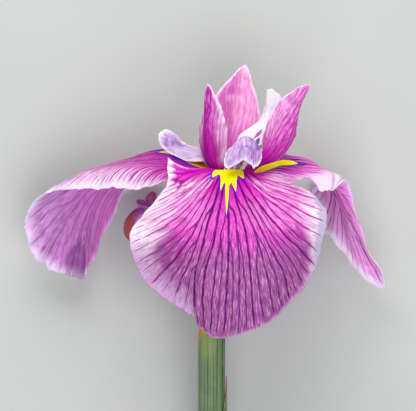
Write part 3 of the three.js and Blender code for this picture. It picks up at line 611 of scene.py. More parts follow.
def stalk(name, spine, steps, sides, size, fold, material):
    """A closed stalk round a spine. size(t) is its radius and fold(angle, t) scales it round the section."""
    spine = np.array(spine, float)
    line = spline_weights(len(spine), np.linspace(0, 1, steps)) @ spine
    ahead = unit(np.gradient(line, axis=0))
    right = unit(np.cross([0, 0, 1], ahead))
    up = np.cross(ahead, right)
    t = np.linspace(0, 1, steps)[:, None]
    angle = (2 * np.pi * np.arange(sides) / sides)[None, :]
    radius = (size(t) * fold(angle, t))[..., None]
    outward = right[:, None] * np.cos(angle)[..., None] + up[:, None] * np.sin(angle)[..., None]
    ring = line[:, None] + radius * outward
    points = np.concatenate([ring.reshape(-1, 3), line[:1], line[-1:]])
    faces = []
    last = (steps - 1) * sides
    for n in range(sides):
        after = (n + 1) % sides
        for k in range(0, last, sides):
            faces.append((k + n, k + after, k + sides + after, k + sides + n))
        faces.append((last + sides, after, n))
        faces.append((last + sides + 1, last + n, last + after))
    made = make_object(name, to_frame(points), faces)
    made.data.materials.append(material)
    for key, values, ends in (("around", angle, (0, 0)), ("along", t, (0, 1))):
        carry(made.data, key, np.append(np.broadcast_to(values, (steps, sides)), ends))
    return made


def profile(values):
    """A smooth function of t through evenly timed values."""
    values = np.array(values, float)

    def at(t):
        return (spline_weights(len(values), np.ravel(t)) @ values).reshape(np.shape(t))

    return at


# ---- skins ----

# A ramp holds numbers from 0 to 1, so the millimetres on it are divided by this.
LONGEST = 40


def thread(offset, width):
    """A line along offset 0: 1 on it and 0 beyond width, both in millimetres."""
    return offset.fall(width * 0.35, width)


def veins(p, rib, reach, spread, pale, look):
    """Main veins on every rib, and finer ones that leave them where the gap between two grows wide."""
    width = (reach.fall(5, 80) * 0.25 + 0.75) * (1 - pale * 0.45) * look["vein_width"]
    tree = thread(((rib + 0.5).fract() - 0.5).abs() * spread, width)
    for level in range(look["forks"]):
        scale = 2**level
        cell = rib * scale
        gap = spread / scale
        number = cell.floor()
        side = p.chance(number, level + 3).rise(0.499, 0.501)
        share = cell.fract()
        share = share * (1 - side) + (1 - share) * side
        start = p.chance(number, level + 11) * look["gap"] * 0.5 + look["gap"]
        path = gap.rise(start, start * 1.7) * 0.5
        branch = thread((share - path).abs() * gap, width * 0.8**(level + 1))
        tree = tree.most(branch * gap.rise(start, start * 1.12) * 0.92**(level + 1))
    return tree


def spot(rib, along, oval, rough=0):
    """How much of an oval mark covers a point: 1 at its middle and 0 outside it. rough makes it uneven.

    oval holds the middle's rib, half the width in ribs, and the middle and half length along the rib.
    """
    middle, half, place, length = oval
    off = (rib - middle) * (1 / half) + rough
    out = (along - place) * (1 / length) - rough
    return (1 - off * off - out * out).rise(0, 0.7)


def signal_layers(p, look, past, inside, reach, tree, hatch):
    """The signal's blue halo, pale fringe and yellow, which turns orange-brown near the claw as painted shade
    under the style arms. past is how far a point lies beyond its end.
    """
    halo = past.fall(1, 9) * reach.fall(24, 42) * (tree * 0.8 + 0.2)
    halo = halo.most(past.fall(0.7, 2.6) * 0.85) * reach.rise(9, 14)
    # Painted shade: near the claw the yellow turns orange-brown, where the style arms shade it.
    yellow = p.paint(
        look["yellow"],
        (look["orange"], reach.fall(*look["shade_to"])),
        (look["orange"], hatch.fall(0.3, 0.46) * 0.15),
    )
    return (look["halo"], halo), (look["fringe"], past.fall(0.1, 0.8) * 0.7), (yellow, inside)


def vein_strength(p, look, tree, rib, reach, edge, pale, hatch):
    """How strong the vein tree's colour is: broken in the pale margin, and fading out at the edge."""
    broken = p.streaks(rib * 1.7, reach * 0.22, 5).rise(0.34, 0.52)
    broken = broken * (pale * 0.6 + 0.2) + (0.8 - pale * 0.6)
    fade = (edge + (hatch - 0.5) * 5).rise(look["vein_end"] - 1.2, look["vein_end"] + 2.5)
    return tree * broken * fade * look["vein_strength"]


def petal_skin(name, look):
    """A petal's face: coloured ground with a pale margin and mottling, the vein tree, and the signal."""
    p = Pattern(name)
    keys = ("rib", "along", "reach", "edge", "spread")
    plain_rib, along, reach, edge, spread = (p.measure(key) for key in keys)
    place = p.place()
    across = plain_rib / look["ribs"]

    def length_at(key):
        """Millimetres, read off the look's pairs of a rib and a length."""
        return p.ramp(across, [(rib / look["ribs"], length / LONGEST) for rib, length in look[key]]) * LONGEST

    drift = ((p.noise(place, 0.06, 1) - 0.5) * 2.6 + (p.noise(place, 0.35, 1) - 0.5) * 0.6) / spread
    uneven = (p.streaks(plain_rib * 0.9, look["ribs"] * 1.7, detail=1) - 0.5) * 0.8
    rib = plain_rib + (drift + uneven) * reach.rise(4, 24)
    strands = rib * look["strands"]
    streak = p.streaks(strands * 0.3, reach * 0.09, detail=3)
    hatch = p.streaks(strands, reach * 0.25, 4)
    blotch = p.streaks(strands * 0.4, reach * 0.2, 9, 3, 0.6)
    grain = p.noise(place, 1.6, 2, 0.6)
    stray = streak - 0.5

    middle_start, middle_end, outer_start, outer_end = look["steps"]
    side = p.ramp(across + stray * 0.14, look["sides"])
    side = side * (reach + stray * 14).rise(*look["side_from"]) * reach.fall(*look["side_to"])
    width = length_at("pale_width")
    pale = (edge + stray * width * 1.1 + (grain - 0.5) * 1.4).fall(0, width + 0.4)
    pale = pale * reach.rise(*look["pale_from"])
    outer = (reach.rise(*look["pattern_from"]) * 0.9 + 0.1) * (1 - pale * 0.6)
    mottle = grain * 0.35 + hatch * 0.65
    ground = p.paint(
        look["base"],
        (look["middle"], (reach + stray * 18).rise(middle_start, middle_end)),
        (look["outer"], (reach + stray * 20).rise(outer_start, outer_end)),
        (look["side"], side),
        (look["deep"], blotch.fall(0.36, 0.52) * look["flecks"]),
        (p.mix(look["margin"], look["far_margin"], reach.rise(56, 70)), pale),
        (look["light"], hatch.rise(0.5, 0.68) * outer * look["streaks"]),
        (look["light"], mottle.rise(0.48, 0.64) * outer * look["speckles"]),
        (look["deep"], mottle.fall(0.36, 0.5) * look["speckles"]),
        (look["deep"], hatch.fall(0.32, 0.47) * (1 - pale * 0.7) * look["flecks"]),
    )
    rough = stray * 0.8 + (hatch - 0.5) * 0.9
    for *oval, tint, share in look["marks"]:
        ground = p.mix(ground, tint, spot(plain_rib, along, oval, rough) * share)

    tree = veins(p, rib, reach, spread, pale, look)
    strength = vein_strength(p, look, tree, rib, reach, edge, pale, hatch)
    for oval in look["bare"]:
        strength = strength * (1 - spot(plain_rib, along, oval))
    bright = p.ramp(across, look["bright_veins"]).most(pale * 0.9)
    color = p.paint(
        ground,
        (look["flush"], streak.rise(0.36, 0.58) * reach.fall(*look["flush_to"]) * look["flushing"]),
        (p.mix(look["vein"], look["bright_vein"], bright), strength),
    )

    # lit is light that the face gives off itself, a painted glow.
    painted_glow = look["painted_glow"]
    if "signal" in look:
        past = reach - length_at("signal") + (p.noise(place, 0.9, 1) - 0.5) * 1.2
        inside = past.fall(-0.4, 0.2)
        color = p.paint(color, *signal_layers(p, look, past, inside, reach, tree, hatch))
        # Painted glow on the signal beyond its shaded part, to lift the shadow that the style arms cast on
        # it.
        painted_glow = inside * reach.rise(*look["shade_to"]) * 0.22
        tree = tree * past.rise(-1, 1)
    height = hatch * 0.3 + grain * 0.15 + blotch * 0.35 - tree * 0.5 * edge.rise(0.5, 4)
    return p.finish(color, p.bump(height, 0.4, 0.6), 0.6 + 0.16 * hatch, 0.05, glow=look["glow"], painted_glow=painted_glow)


# ---- the petals' looks ----

# Colours are as srgb() takes them. Values named from, to or steps are distances from the claw in
# millimetres, between which something fades in or out. sides and bright_veins hold pairs of a place across
# the petal, from 0 to 1, and a share there. pale_width is how wide the pale margin is and signal how far the
# signal reaches, both as pairs of a rib and millimetres. Each mark is an oval as spot() takes it, a colour
# and how much of it shows. bare lists the ovals without veins.

NEVER = (900, 901)  # farther than any petal reaches
NOWHERE = ((0, 0), (1, 0))  # a share of 0 all across a petal
HALF = ((0, 0.5), (1, 0.5))
VIOLET = (150, 84, 196)

# On the front fall side is the shoulders' paler pink, made paler still as painted light where they face the
# light above the crease, and outer is the lower half's mauve, darkened with painted shade where it hangs away
# from the light.
FRONT_LOOK = dict(
    ribs=13, strands=22, base=(240, 4, 198), middle=(226, 60, 196), outer=(152, 89, 144),
    steps=(18, 34, 42, 60), side=(248, 148, 224),
    sides=((0, 0.6), (0.14, 0.9), (0.28, 0.8), (0.4, 0.25), (0.5, 0), (0.58, 0.1), (0.68, 0.5),
           (0.78, 0.9), (1, 0.7)),
    side_from=(16, 36), side_to=(38, 50), margin=(252, 244, 252), far_margin=(200, 164, 204),
    light=(226, 166, 218), deep=(140, 30, 130), pattern_from=(20, 46), flush=(206, 12, 178),
    flushing=0.75, flush_to=(16, 44), streaks=0.36, speckles=0.32, flecks=0.45, pale_from=(10, 24),
    pale_width=((0, 0.6), (0.7, 1), (1.3, 14), (2, 30), (2.7, 31), (3.1, 27), (3.5, 14), (3.9, 12),
                (4.7, 11), (5.1, 4), (5.4, 0.5), (8, 0.5), (9.2, 2), (10, 6), (10.4, 11), (10.8, 20),
                (11.6, 17), (12.4, 8), (13, 5)),
    vein=(92, 0, 102), bright_vein=(178, 6, 148),
    bright_veins=((0, 0.5), (0.1, 0.6), (0.16, 0.9), (0.24, 0.6), (0.34, 0), (0.7, 0), (0.78, 0.3),
                  (0.86, 0.9), (1, 0.9)),
    vein_width=0.84, vein_strength=0.97, vein_end=1, gap=2.5, forks=2,
    marks=(
        (0.2, 1.1, 1, 0.11, (250, 240, 252), 1),
        # Painted shade in the ear's dents and painted highlights on its swellings, along its folds.
        (0.8, 0.24, 0.84, 0.04, (150, 20, 130), 0.75),
        (1.3, 0.24, 0.73, 0.04, (144, 14, 126), 0.75),
        (1.9, 0.26, 0.63, 0.04, (144, 14, 126), 0.6),
        (0.5, 0.2, 0.9, 0.035, (232, 170, 226), 0.7),
        (1.02, 0.2, 0.78, 0.03, (244, 176, 234), 0.6),
        (1.6, 0.2, 0.68, 0.03, (244, 176, 234), 0.5),
        # Painted shade below the crease on the left and on the right, and on the lower right margin where it
        # turns away from the light.
        (3.75, 0.75, 0.81, 0.1, (128, 48, 120), 0.45),
        (9.8, 1, 0.82, 0.13, (136, 66, 132), 0.35),
        (11.1, 1.5, 0.99, 0.08, (184, 174, 200), 0.85),
    ),
    signal=((0.6, 0), (1.6, 9.5), (2.9, 15.5), (3.5, 11.5), (4.2, 13), (4.9, 17), (5.6, 23.5), (6.1, 17),
            (6.5, 19), (6.9, 37), (7.2, 19.5), (7.6, 17), (8.1, 23.5), (8.7, 16), (9.5, 12),
            (10.2, 14.5), (11, 8), (12, 0)),
    halo=(92, 24, 170), fringe=(222, 205, 255), yellow=(255, 252, 0), orange=(240, 176, 4),
    shade_to=(3, 8), glow=0.2, painted_glow=0, bare=(),
)

LEFT_LOOK = FRONT_LOOK | dict(
    base=(206, 30, 170), middle=(228, 134, 212), outer=(234, 178, 228), steps=(16, 34, 30, 56),
    sides=NOWHERE, margin=(240, 228, 244), far_margin=(236, 222, 242), light=(250, 220, 246),
    deep=(204, 76, 184), streaks=0.5, flecks=0.25, flushing=0.6, flush_to=(18, 44), pale_from=(12, 34),
    pale_width=((0, 9), (1, 12), (2, 15), (3, 18), (4, 17), (5, 9), (7, 4), (10, 3), (13, 2)),
    vein=(138, 0, 120), bright_vein=(166, 10, 140), bright_veins=HALF, vein_width=1.15,
    vein_end=2.2, gap=1, forks=3, marks=(),
    signal=((0.4, 0), (1, 4), (2.4, 11), (3.1, 17.5), (3.5, 19), (3.96, 24.5), (4.5, 30), (5.2, 25),
            (6, 25), (6.6, 33), (7.4, 24), (9, 20), (11, 12), (12.5, 0)),
    # The left signal turns orange-brown out to about 22 mm, painted shade under the left style arm.
    shade_to=(10, 22),
)

RIGHT_LOOK = LEFT_LOOK | dict(
    base=(206, 20, 176), middle=(250, 150, 232), outer=(242, 192, 236), steps=(12, 26, 30, 46),
    deep=(196, 50, 176), margin=(242, 220, 244), pale_from=(5, 14),
    pale_width=((0, 9), (0.8, 11), (1.6, 12), (2.4, 14), (3.6, 15), (4.4, 8), (6, 4), (10, 3), (13, 2)),
    marks=((2.6, 1.8, 0.95, 0.22, (248, 228, 248), 0.65),), bare=((2.6, 1.9, 0.97, 0.24),),
    vein=(138, 6, 126), vein_width=0.7, forks=2, gap=1.6,
    signal=((0.4, 0), (1, 6.5), (2, 10.5), (2.8, 15.5), (3.3, 22.5), (3.8, 20), (4.4, 17.5), (5, 13.5),
            (6, 11), (7, 8), (8, 5), (9, 0)),
    halo=(92, 18, 140), shade_to=(3, 14), flush_to=(14, 34),
)

UNDER_LOOK = LEFT_LOOK | dict(
    base=(232, 120, 220), middle=(252, 142, 242), outer=(210, 118, 204), steps=(16, 34, 74, 96),
    margin=(236, 222, 244), light=(240, 196, 242), deep=(160, 54, 158), pattern_from=(0, 20), flushing=0,
    streaks=0.55, speckles=0.1, flecks=0.35, side=(204, 172, 216),
    sides=((0, 0.7), (0.3, 0.8), (0.42, 0.7), (0.52, 0.4), (0.64, 0.3), (0.7, 0.2), (0.8, 0.25), (1, 0.3)),
    side_from=(56, 84), side_to=NEVER,
    pale_width=((0, 3), (3, 4), (5, 8), (6, 7), (7, 5), (9, 4), (13, 4)), vein=(146, 38, 146),
    bright_vein=(156, 50, 156), vein_width=0.9, vein_strength=0.42, gap=2.6, forks=2,
    # Painted shade in the valley fold, and painted light on the blade beside it.
    marks=((7.2, 0.6, 0.97, 0.07, (108, 40, 118), 0.5), (8.9, 1, 0.9, 0.2, (244, 156, 236), 0.6)),
    # The lower faces give off light, a painted glow that lifts them out of their shade.
    glow=0.5, painted_glow=0.19,
)
del UNDER_LOOK["signal"]

RIGHT_UNDER_LOOK = UNDER_LOOK | dict(
    base=(252, 140, 240), middle=(254, 156, 242), outer=(254, 196, 248), steps=(16, 34, 46, 74),
    light=(255, 224, 252), deep=(206, 80, 196), marks=((8.5, 1.6, 1, 0.042, (254, 250, 255), 1),),
    side=(232, 196, 236),
    sides=((0, 0.3), (0.3, 0.3), (0.36, 0.1), (0.5, 0), (0.72, 0), (0.8, 0.5), (0.9, 0.8), (1, 0.9)),
    side_from=(30, 50), margin=(240, 228, 250), far_margin=(234, 224, 250),
    pale_width=((0, 3), (3, 3), (4.5, 1.5), (6.5, 2), (7.2, 9), (8, 12), (10, 13), (11.4, 10), (13, 8)),
    # A weaker painted glow on the right fall's lower face.
    vein=(160, 30, 154), bright_vein=(176, 50, 170), vein_width=0.66, vein_strength=0.85, painted_glow=0.07,
)

STANDARD_LOOK = FRONT_LOOK | dict(
    ribs=6, strands=6, pattern_from=(8, 26), side_from=(0, 14), side_to=NEVER, base=(170, 0, 142),
    middle=(196, 30, 170), outer=(222, 104, 200), steps=(8, 22, 26, 46), margin=(248, 232, 248),
    far_margin=(248, 232, 248), light=(244, 184, 232), deep=(160, 14, 138), flushing=0.4,
    flush_to=(8, 30), streaks=0.4, speckles=0.2, pale_from=(4, 12), bright_veins=HALF,
    vein=(138, 10, 120), bright_vein=(166, 30, 142), vein_width=0.4, vein_strength=0.55, vein_end=0.6,
    gap=1.9, marks=(), glow=0.25,
)
del STANDARD_LOOK["signal"]

STANDARD_LEFT_LOOK = STANDARD_LOOK | dict(
    pattern_from=(14, 36), base=(156, 0, 134), middle=(184, 16, 160), outer=(206, 66, 182),
    side=(250, 206, 243), side_from=(9, 22),
    sides=((0, 0.9), (0.2, 0.75), (0.28, 0.05), (0.58, 0), (0.7, 0.35), (0.8, 0.95), (1, 1)),
    pale_width=((0, 3), (1.5, 0.5), (3, 0.5), (4, 3), (5, 5), (6, 5)),
)

STANDARD_RIGHT_LOOK = STANDARD_LOOK | dict(
    base=(188, 6, 158), middle=(214, 58, 188), side=(248, 178, 232),
    sides=((0, 1), (0.2, 0.95), (0.36, 0.85), (0.5, 0.45), (0.66, 0.15), (1, 0.1)), side_from=(12, 26),
    pale_width=((0, 3), (1.5, 2), (3, 0.5), (4.5, 0.3), (6, 0.5)),
)

STANDARD_BACK_LOOK = STANDARD_LOOK | dict(
    base=(226, 96, 196), middle=(252, 180, 230), outer=(254, 206, 240), steps=(12, 32, 34, 50),
    # side is a darker pink along a fold left of the middle, painted shade.
    light=(255, 230, 247), deep=(216, 92, 184), flushing=0, side=(212, 96, 186),
    sides=((0, 0), (0.2, 0.1), (0.3, 0.85), (0.42, 0.8), (0.48, 0.1), (0.7, 0), (1, 0)),
    pale_width=((0, 3), (2, 2), (3, 1), (4.5, 3), (6, 4)), vein=(212, 84, 180),
    bright_vein=(220, 98, 188), vein_strength=0.35, speckles=0.12, flecks=0.3, streaks=0.3,
)

STYLE_LOOK = STANDARD_LOOK | dict(
    ribs=7, strands=5, base=(230, 208, 238), middle=(228, 204, 236), outer=(218, 186, 230),
    margin=(246, 242, 252), far_margin=(246, 242, 252), light=(246, 240, 252), deep=(172, 128, 210),
    flushing=0, streaks=0.5, flecks=0.3, sides=NOWHERE, pale_width=((0, 2), (6, 2)),
    vein=(160, 96, 200), bright_vein=(172, 116, 210), vein_strength=0.22,
)

STYLE_LEFT_LOOK = STYLE_LOOK | dict(
    outer=(204, 170, 222), steps=(8, 22, 18, 32),
    marks=(
        # Painted shade in the crest's two cross folds, violet, and in the dent below them, grey-lilac.
        (2.9, 0.8, 0.925, 0.016, VIOLET, 0.6),
        (3.4, 0.9, 0.865, 0.015, VIOLET, 0.6),
        (4.8, 0.8, 0.8, 0.06, (186, 150, 214), 0.35),
        (1, 1, 0.8, 0.1, (170, 126, 206), 0.3),
    ),
)

STYLE_FRONT_LOOK = STYLE_LOOK | dict(
    base=(224, 192, 230), middle=(222, 188, 230), outer=(190, 148, 204), steps=(8, 22, 25, 34),
    light=(244, 232, 248), side=(170, 104, 196), sides=((0, 0), (0.56, 0), (0.74, 0.7), (1, 0.7)),
    vein=(160, 80, 196), vein_strength=0.4,
    marks=(
        # Painted shade in the crease between the upper lobe and the flap, deepest in a violet dimple.
        (3.6, 4, 0.79, 0.015, (196, 162, 218), 0.4),
        (3.98, 0.3, 0.765, 0.018, VIOLET, 0.7),
        (2.2, 0.4, 0.74, 0.03, (196, 150, 218), 0.4),
        (6.3, 1.1, 0.72, 0.13, (160, 100, 196), 0.6),
        (3.5, 1.4, 0.97, 0.03, (184, 150, 210), 0.4),
    ),
)

STYLE_RIGHT_LOOK = STYLE_LOOK | dict(
    ribs=6, base=(252, 248, 254), middle=(252, 248, 254), outer=(238, 234, 255), speckles=0.1,
    flecks=0.12, vein_strength=0.1,
    marks=(
        (4.3, 1, 0.47, 0.16, (255, 252, 255), 1),
        (1.9, 0.5, 0.5, 0.12, (176, 52, 176), 0.9),
        # The right standard's purple edge in the arm's shadow, painted onto the arm as painted shade.
        (0.5, 0.8, 0.5, 0.08, (96, 36, 150), 0.9),
    ),
)


def plant_skin(name, body, ridge, shade, ribs):
    """Waxy skin with ribs along it."""
    p = Pattern(name)
    around, along, place = p.measure("around"), p.measure("along"), p.place()
    wander = p.noise(place, 0.12, 2) * 1.2
    fine = p.streaks(around * 9, along * 6, detail=4)
    stripe = (((around * (ribs / (2 * math.pi)) + wander * 0.3).fract() - 0.5).abs() * 2).rise(0.1, 0.9)
    color = p.paint(
        body,
        (ridge, stripe * 0.55),
        (shade, fine.rise(0.5, 0.75) * 0.35),
        (ridge, p.noise(place, 0.2, 4).rise(0.55, 0.75) * 0.3),
    )
    return p.finish(color, p.bump(stripe * 0.6 + fine * 0.3, 0.25, 0.6), 0.42 + 0.2 * fine, 0.4, sheen=0.1)


def withered_skin(name):
    """Crumpled skin with painted shade in its hollows and painted highlights on its ridges, brown at its foot
    and dull red at its left side.
    """
    p = Pattern(name)
    around, along, place = p.measure("around"), p.measure("along"), p.place()
    cloud = p.noise(place, 0.16, 3)
    fold = p.streaks(around * 2.2, along * 2, 3, 3)
    line = p.streaks(around * 9, along * 1.6, 8)
    x, y = (part - float(middle) / MM for part, middle in zip(p.parts(place)[:2], FLOWER_CENTRE))
    color = p.paint(
        (144, 72, 150),
        ((208, 134, 202), fold.rise(0.36, 0.6)),
        ((158, 62, 70), (x + (cloud - 0.5) * 3).fall(-42, -37.6)),
        ((206, 108, 116), (y + (fold - 0.5) * 6).rise(-15, -10) * 0.85),
        ((190, 116, 48), (y + (cloud - 0.5) * 4).fall(-31, -26.5) * 0.9),
        ((84, 24, 78), line.rise(0.52, 0.7) * 0.55),
    )
    normal = p.bump(line * 0.6 + fold * 0.5, 0.5, 0.7)
    return p.finish(color, normal, 0.55 + 0.2 * line, 0.3, sheen=0.2, glow=0.1)


def anther_skin(name):
    """A pale filament below a tan anther with brown grains."""
    p = Pattern(name)
    grain = p.noise(p.place(), 2.5, 3)
    along = p.measure("along")
    color = p.paint(
        (230, 224, 236),
        ((168, 104, 40), along.rise(0.42, 0.56)),
        ((112, 62, 22), grain.rise(0.5, 0.72) * along.rise(0.5, 0.6) * 0.7),
    )
    return p.finish(color, p.bump(grain, 0.12, 0.8), 0.7 + 0.1 * grain, 0.25, sheen=0.1)


def floor_skin(name):
    p = Pattern(name)
    grain = p.noise(p.place(), 0.02, 3)
    color = p.mix((176, 179, 176), (184, 186, 183), grain)
    return p.finish(color, p.bump(grain, 0.05, 0.2), 0.85, 0.1)


# ---- the pieces ----

# How many points a blade's grid has across and along.
FALL_COUNTS = (280, 170)
STANDARD_COUNTS = (120, 140)
STYLE_COUNTS = (140, 130)
BRACT_COUNTS = (110, 130)

# How thick a blade is in the middle and at the margin.
PETAL_THICKNESS = (0.55, 0.3)
LEAF_THICKNESS = (0.55, 0.35)

FALL_FORM = dict(
    wave_count=9, wave_height=0.7, pleat=0.1, crinkle=0.35, crinkle_count=1.7, crinkle_length=5,
    flutter=0.5, fray=0.4, frays=3.1, bumps=(), pulls=(),
)
SMALL_FORM = FALL_FORM | dict(
    wave_count=3, wave_height=0.3, pleat=0.05, crinkle_count=2.2, crinkle_length=3, flutter=0.3, fray=0.25,
)
STYLE_FORM = SMALL_FORM | dict(crinkle=0.2, fray=0.4)

# Single swellings and dents: rib, half width in ribs, share of the rib's length, half length, height.
EAR_FOLDS = ((0.45, 0.25, 0.9, 0.04, 0.7), (0.8, 0.25, 0.84, 0.035, -0.8), (1, 0.25, 0.77, 0.035, 0.8),
             (1.3, 0.25, 0.72, 0.035, -0.8), (1.6, 0.25, 0.67, 0.035, 0.7), (1.9, 0.3, 0.62, 0.035, -0.6))
NOTCH_PLEAT = ((5.05, 0.25, 0.98, 0.25, -0.9), (5.6, 0.28, 0.98, 0.25, 1))
VALLEY = ((6.4, 0.5, 0.95, 0.18, 0.6), (7.15, 0.6, 0.95, 0.16, -0.9), (8, 0.5, 0.95, 0.18, 0.6),
          (5.6, 0.16, 1, 0.05, 0.9), (5.9, 0.16, 1, 0.06, -1.1), (6.25, 0.16, 1, 0.06, 1.1),
          (6.6, 0.16, 1, 0.05, -0.9), (7.5, 0.16, 1, 0.06, -0.9), (7.8, 0.16, 1, 0.05, 0.9))
ROLL_FOLDS = ((2.2, 0.35, 0.86, 0.06, 1.3), (2.75, 0.22, 0.88, 0.08, -1.5), (3.3, 0.3, 0.86, 0.06, 1.2),
              (1.5, 0.25, 0.93, 0.06, -0.9), (8.4, 1.1, 0.985, 0.015, -0.8),
              (2.6, 0.3, 0.96, 0.04, 0.7), (10.6, 0.3, 0.98, 0.06, 0.9), (11.4, 0.3, 0.98, 0.06, -0.9))
CREST_FOLDS = ((3, 0.8, 0.925, 0.02, -0.3), (3.4, 0.8, 0.865, 0.02, -0.35), (3.9, 0.6, 0.9, 0.02, 0.3),
               (1.6, 0.5, 0.8, 0.04, 0.5), (5, 1.2, 0.84, 0.035, -1.3), (4.8, 1, 0.72, 0.05, 0.7))
LOBE_AND_FLAP = ((2.6, 1, 0.68, 0.06, 1), (5, 0.8, 0.69, 0.06, 1), (3.9, 0.5, 0.72, 0.06, -0.8),
                 (3.6, 3.2, 0.785, 0.022, -0.7), (3.6, 2.2, 0.87, 0.05, 0.7), (2, 0.7, 0.93, 0.05, 0.5),
                 (5.3, 0.6, 0.93, 0.05, 0.5))
# Lengths added at the ends of ribs: rib, half width in ribs, millimetres.
NOTCH = ((6.15, 0.12, -2), (7.55, 0.3, 1.8), (8.3, 0.35, -0.9))
ROLL_AND_TIP = ((2.1, 0.9, 3.2), (7.1, 0.22, 1.6), (6.5, 0.3, -0.8), (8, 0.6, -1.9))
BACK_TIP = ((3, 0.28, 0.7), (3.8, 0.5, -0.8), (2.2, 0.5, -0.9))
TONGUE_TOP = ((3, 0.6, 0.7), (4.6, 0.5, 0.4))


def claw(start, end):
    return start, end, CLAW_RADIUS, CLAW_HEIGHT


def style_claw(start, end):
    return start, end, STYLE_RADIUS, STYLE_HEIGHT


def dress(piece, node):
    """The piece stands for the CAD node and moves with the whole."""
    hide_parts(node)
    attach(piece, "root")


def add_petal(node, ribs, at_claw, form, seed, upper, materials, slot, counts):
    """upper says on which side of the fan the petal's upper face lies. materials is for its two faces."""
    form = form | {"seed": seed, "ribs": len(ribs) - 1, "upper": upper}
    grid = ruffle(fan(ribs, at_claw, *counts), form)
    dress(blade(node + ".petal", grid, PETAL_THICKNESS, upper, materials, len(ribs) - 1), node)


def add_falls():
    half = FALL_CLAW_HALF_ANGLE
    under = petal_skin("fall lower face", UNDER_LOOK)
    right_under = petal_skin("right fall lower face", RIGHT_UNDER_LOOK)
    front = (petal_skin("front fall", FRONT_LOOK), under)
    left = (petal_skin("left fall", LEFT_LOOK), under)
    right = (petal_skin("right fall", RIGHT_LOOK), right_under)
    eared = FALL_FORM | dict(bumps=EAR_FOLDS + NOTCH_PLEAT)
    frilled = FALL_FORM | dict(wave_height=0.25, fray=0.8, frays=1.6, bumps=VALLEY, pulls=NOTCH)
    rolled = FALL_FORM | dict(bumps=ROLL_FOLDS, pulls=ROLL_AND_TIP)
    petals = (
        ("fall_front", FALL_FRONT, claw(half, -half), eared, 11, -1, front),
        ("fall_left", FALL_LEFT, claw(120 - half, 120 + half), frilled, 21, 1, left),
        ("fall_right", FALL_RIGHT, claw(-120 + half, -120 - half), rolled, 31, -1, right),
    )
    for petal in petals:
        add_petal(*petal, "fall", FALL_COUNTS)


def add_standards():
    half = STANDARD_CLAW_HALF_ANGLE
    pointed = SMALL_FORM | dict(pulls=BACK_TIP)
    petals = (
        ("standard_left", STANDARD_LEFT, claw(60 + half, 60 - half), SMALL_FORM, 41, STANDARD_LEFT_LOOK),
        ("standard_right", STANDARD_RIGHT, claw(-60 + half, -60 - half), SMALL_FORM, 51, STANDARD_RIGHT_LOOK),
        ("standard_back", STANDARD_BACK, claw(180 - half, 180 + half), pointed, 61, STANDARD_BACK_LOOK),
    )
    for node, ribs, at_claw, form, seed, look in petals:
        skin = petal_skin(node + " skin", look)
        add_petal(node, ribs, at_claw, form, seed, 1, (skin, skin), "standard", STANDARD_COUNTS)


def add_styles():
    half = STYLE_HALF_ANGLE
    crested = STYLE_FORM | dict(bumps=CREST_FOLDS)
    flapped = STYLE_FORM | dict(bumps=LOBE_AND_FLAP)
    tongue = STYLE_FORM | dict(pulls=TONGUE_TOP)
    petals = (
        ("style_left", STYLE_LEFT, style_claw(120 - half, 120 + half), crested, 71, 1, STYLE_LEFT_LOOK),
        ("style_front", STYLE_FRONT, style_claw(half, -half), flapped, 81, -1, STYLE_FRONT_LOOK),
        ("style_right", STYLE_RIGHT, style_claw(-120 + half, -120 - half), tongue, 91, -1, STYLE_RIGHT_LOOK),
    )
    for node, ribs, at_claw, form, seed, upper, look in petals:
        skin = petal_skin(node + " skin", look)
        add_petal(node, ribs, at_claw, form, seed, upper, (skin, skin), "style", STYLE_COUNTS)


def even(angle, t):
    """A round section all the way."""
    return 1 + 0 * angle * t


def on_stem(route):
    """The route with SEAT_HEIGHT and the stem's depth there wherever a height or a depth is None."""
    return [[x, SEAT_HEIGHT if y is None else y, lean(SEAT_HEIGHT) if z is None else z] for x, y, z in route]


def add_centre():
    base = CLAW_HEIGHT - BLADE_THICKNESS / 2
    spine = [[0, base, 0], [0, STYLE_HEIGHT, 0], [0, COLUMN_TOP, 0]]
    skin = plant_skin("style column", (226, 216, 238), (240, 234, 248), (206, 186, 224), 3)
    column = stalk("style_column.core", spine, 24, 32, profile([2.1, 1.9, 1.2]), even, skin)
    dress(column, "style_column")

    anther = anther_skin("anther")
    size = profile([0.5, 0.5, 0.5, 0.5, 1, 1.1, 1, 0.5])

    def flat(angle, t):
        return 1 - 0.25 * np.sin(angle)**2 + 0 * t

    for node, route in STAMENS.items():
        (x, z), *rest = route
        dress(stalk(node + ".rod", [[x, base, z], *rest], 60, 20, size, flat, anther), node)

    def ridged(angle, t):
        return 1 + 0.05 * np.cos(3 * angle) + 0 * t

    skin = plant_skin("tube and ovary", (150, 170, 104), (178, 192, 132), (116, 140, 78), 6)
    spine = [[0, base - SEAT_GAP, 0], *on_stem(TUBE)]
    size = profile([6.1, 2.7, 3.3, 3.3, 1.9, 1.4, 1.4, 1.4])
    dress(stalk("tube_and_ovary.body", spine, 140, 40, size, ridged, skin), "tube_and_ovary")


def lean(height):
    """How far below the flower's centre the sloping stem lies at a height."""
    return height * math.tan(STEM_LEAN)


def add_stem():
    top = SEAT_HEIGHT - SEAT_GAP
    route = ((SPATHE_X, top), (SPATHE_X, top - 7), (SPATHE_X - 0.3, STEM_MIDDLE), (SPATHE_X - 0.8, STEM_END))
    size = profile([RECEPTACLE_RADIUS, STEM_RADIUS + 0.3, STEM_RADIUS, STEM_RADIUS - 0.1])

    def fluted(angle, t):
        return 1 + 0.012 * np.cos(14 * angle) + 0 * t

    skin = plant_skin("stem", (136, 158, 112), (166, 184, 140), (98, 122, 78), 14)
    dress(stalk("stem.rod", [[x, y, lean(y)] for x, y in route], 120, 84, size, fluted, skin), "stem")


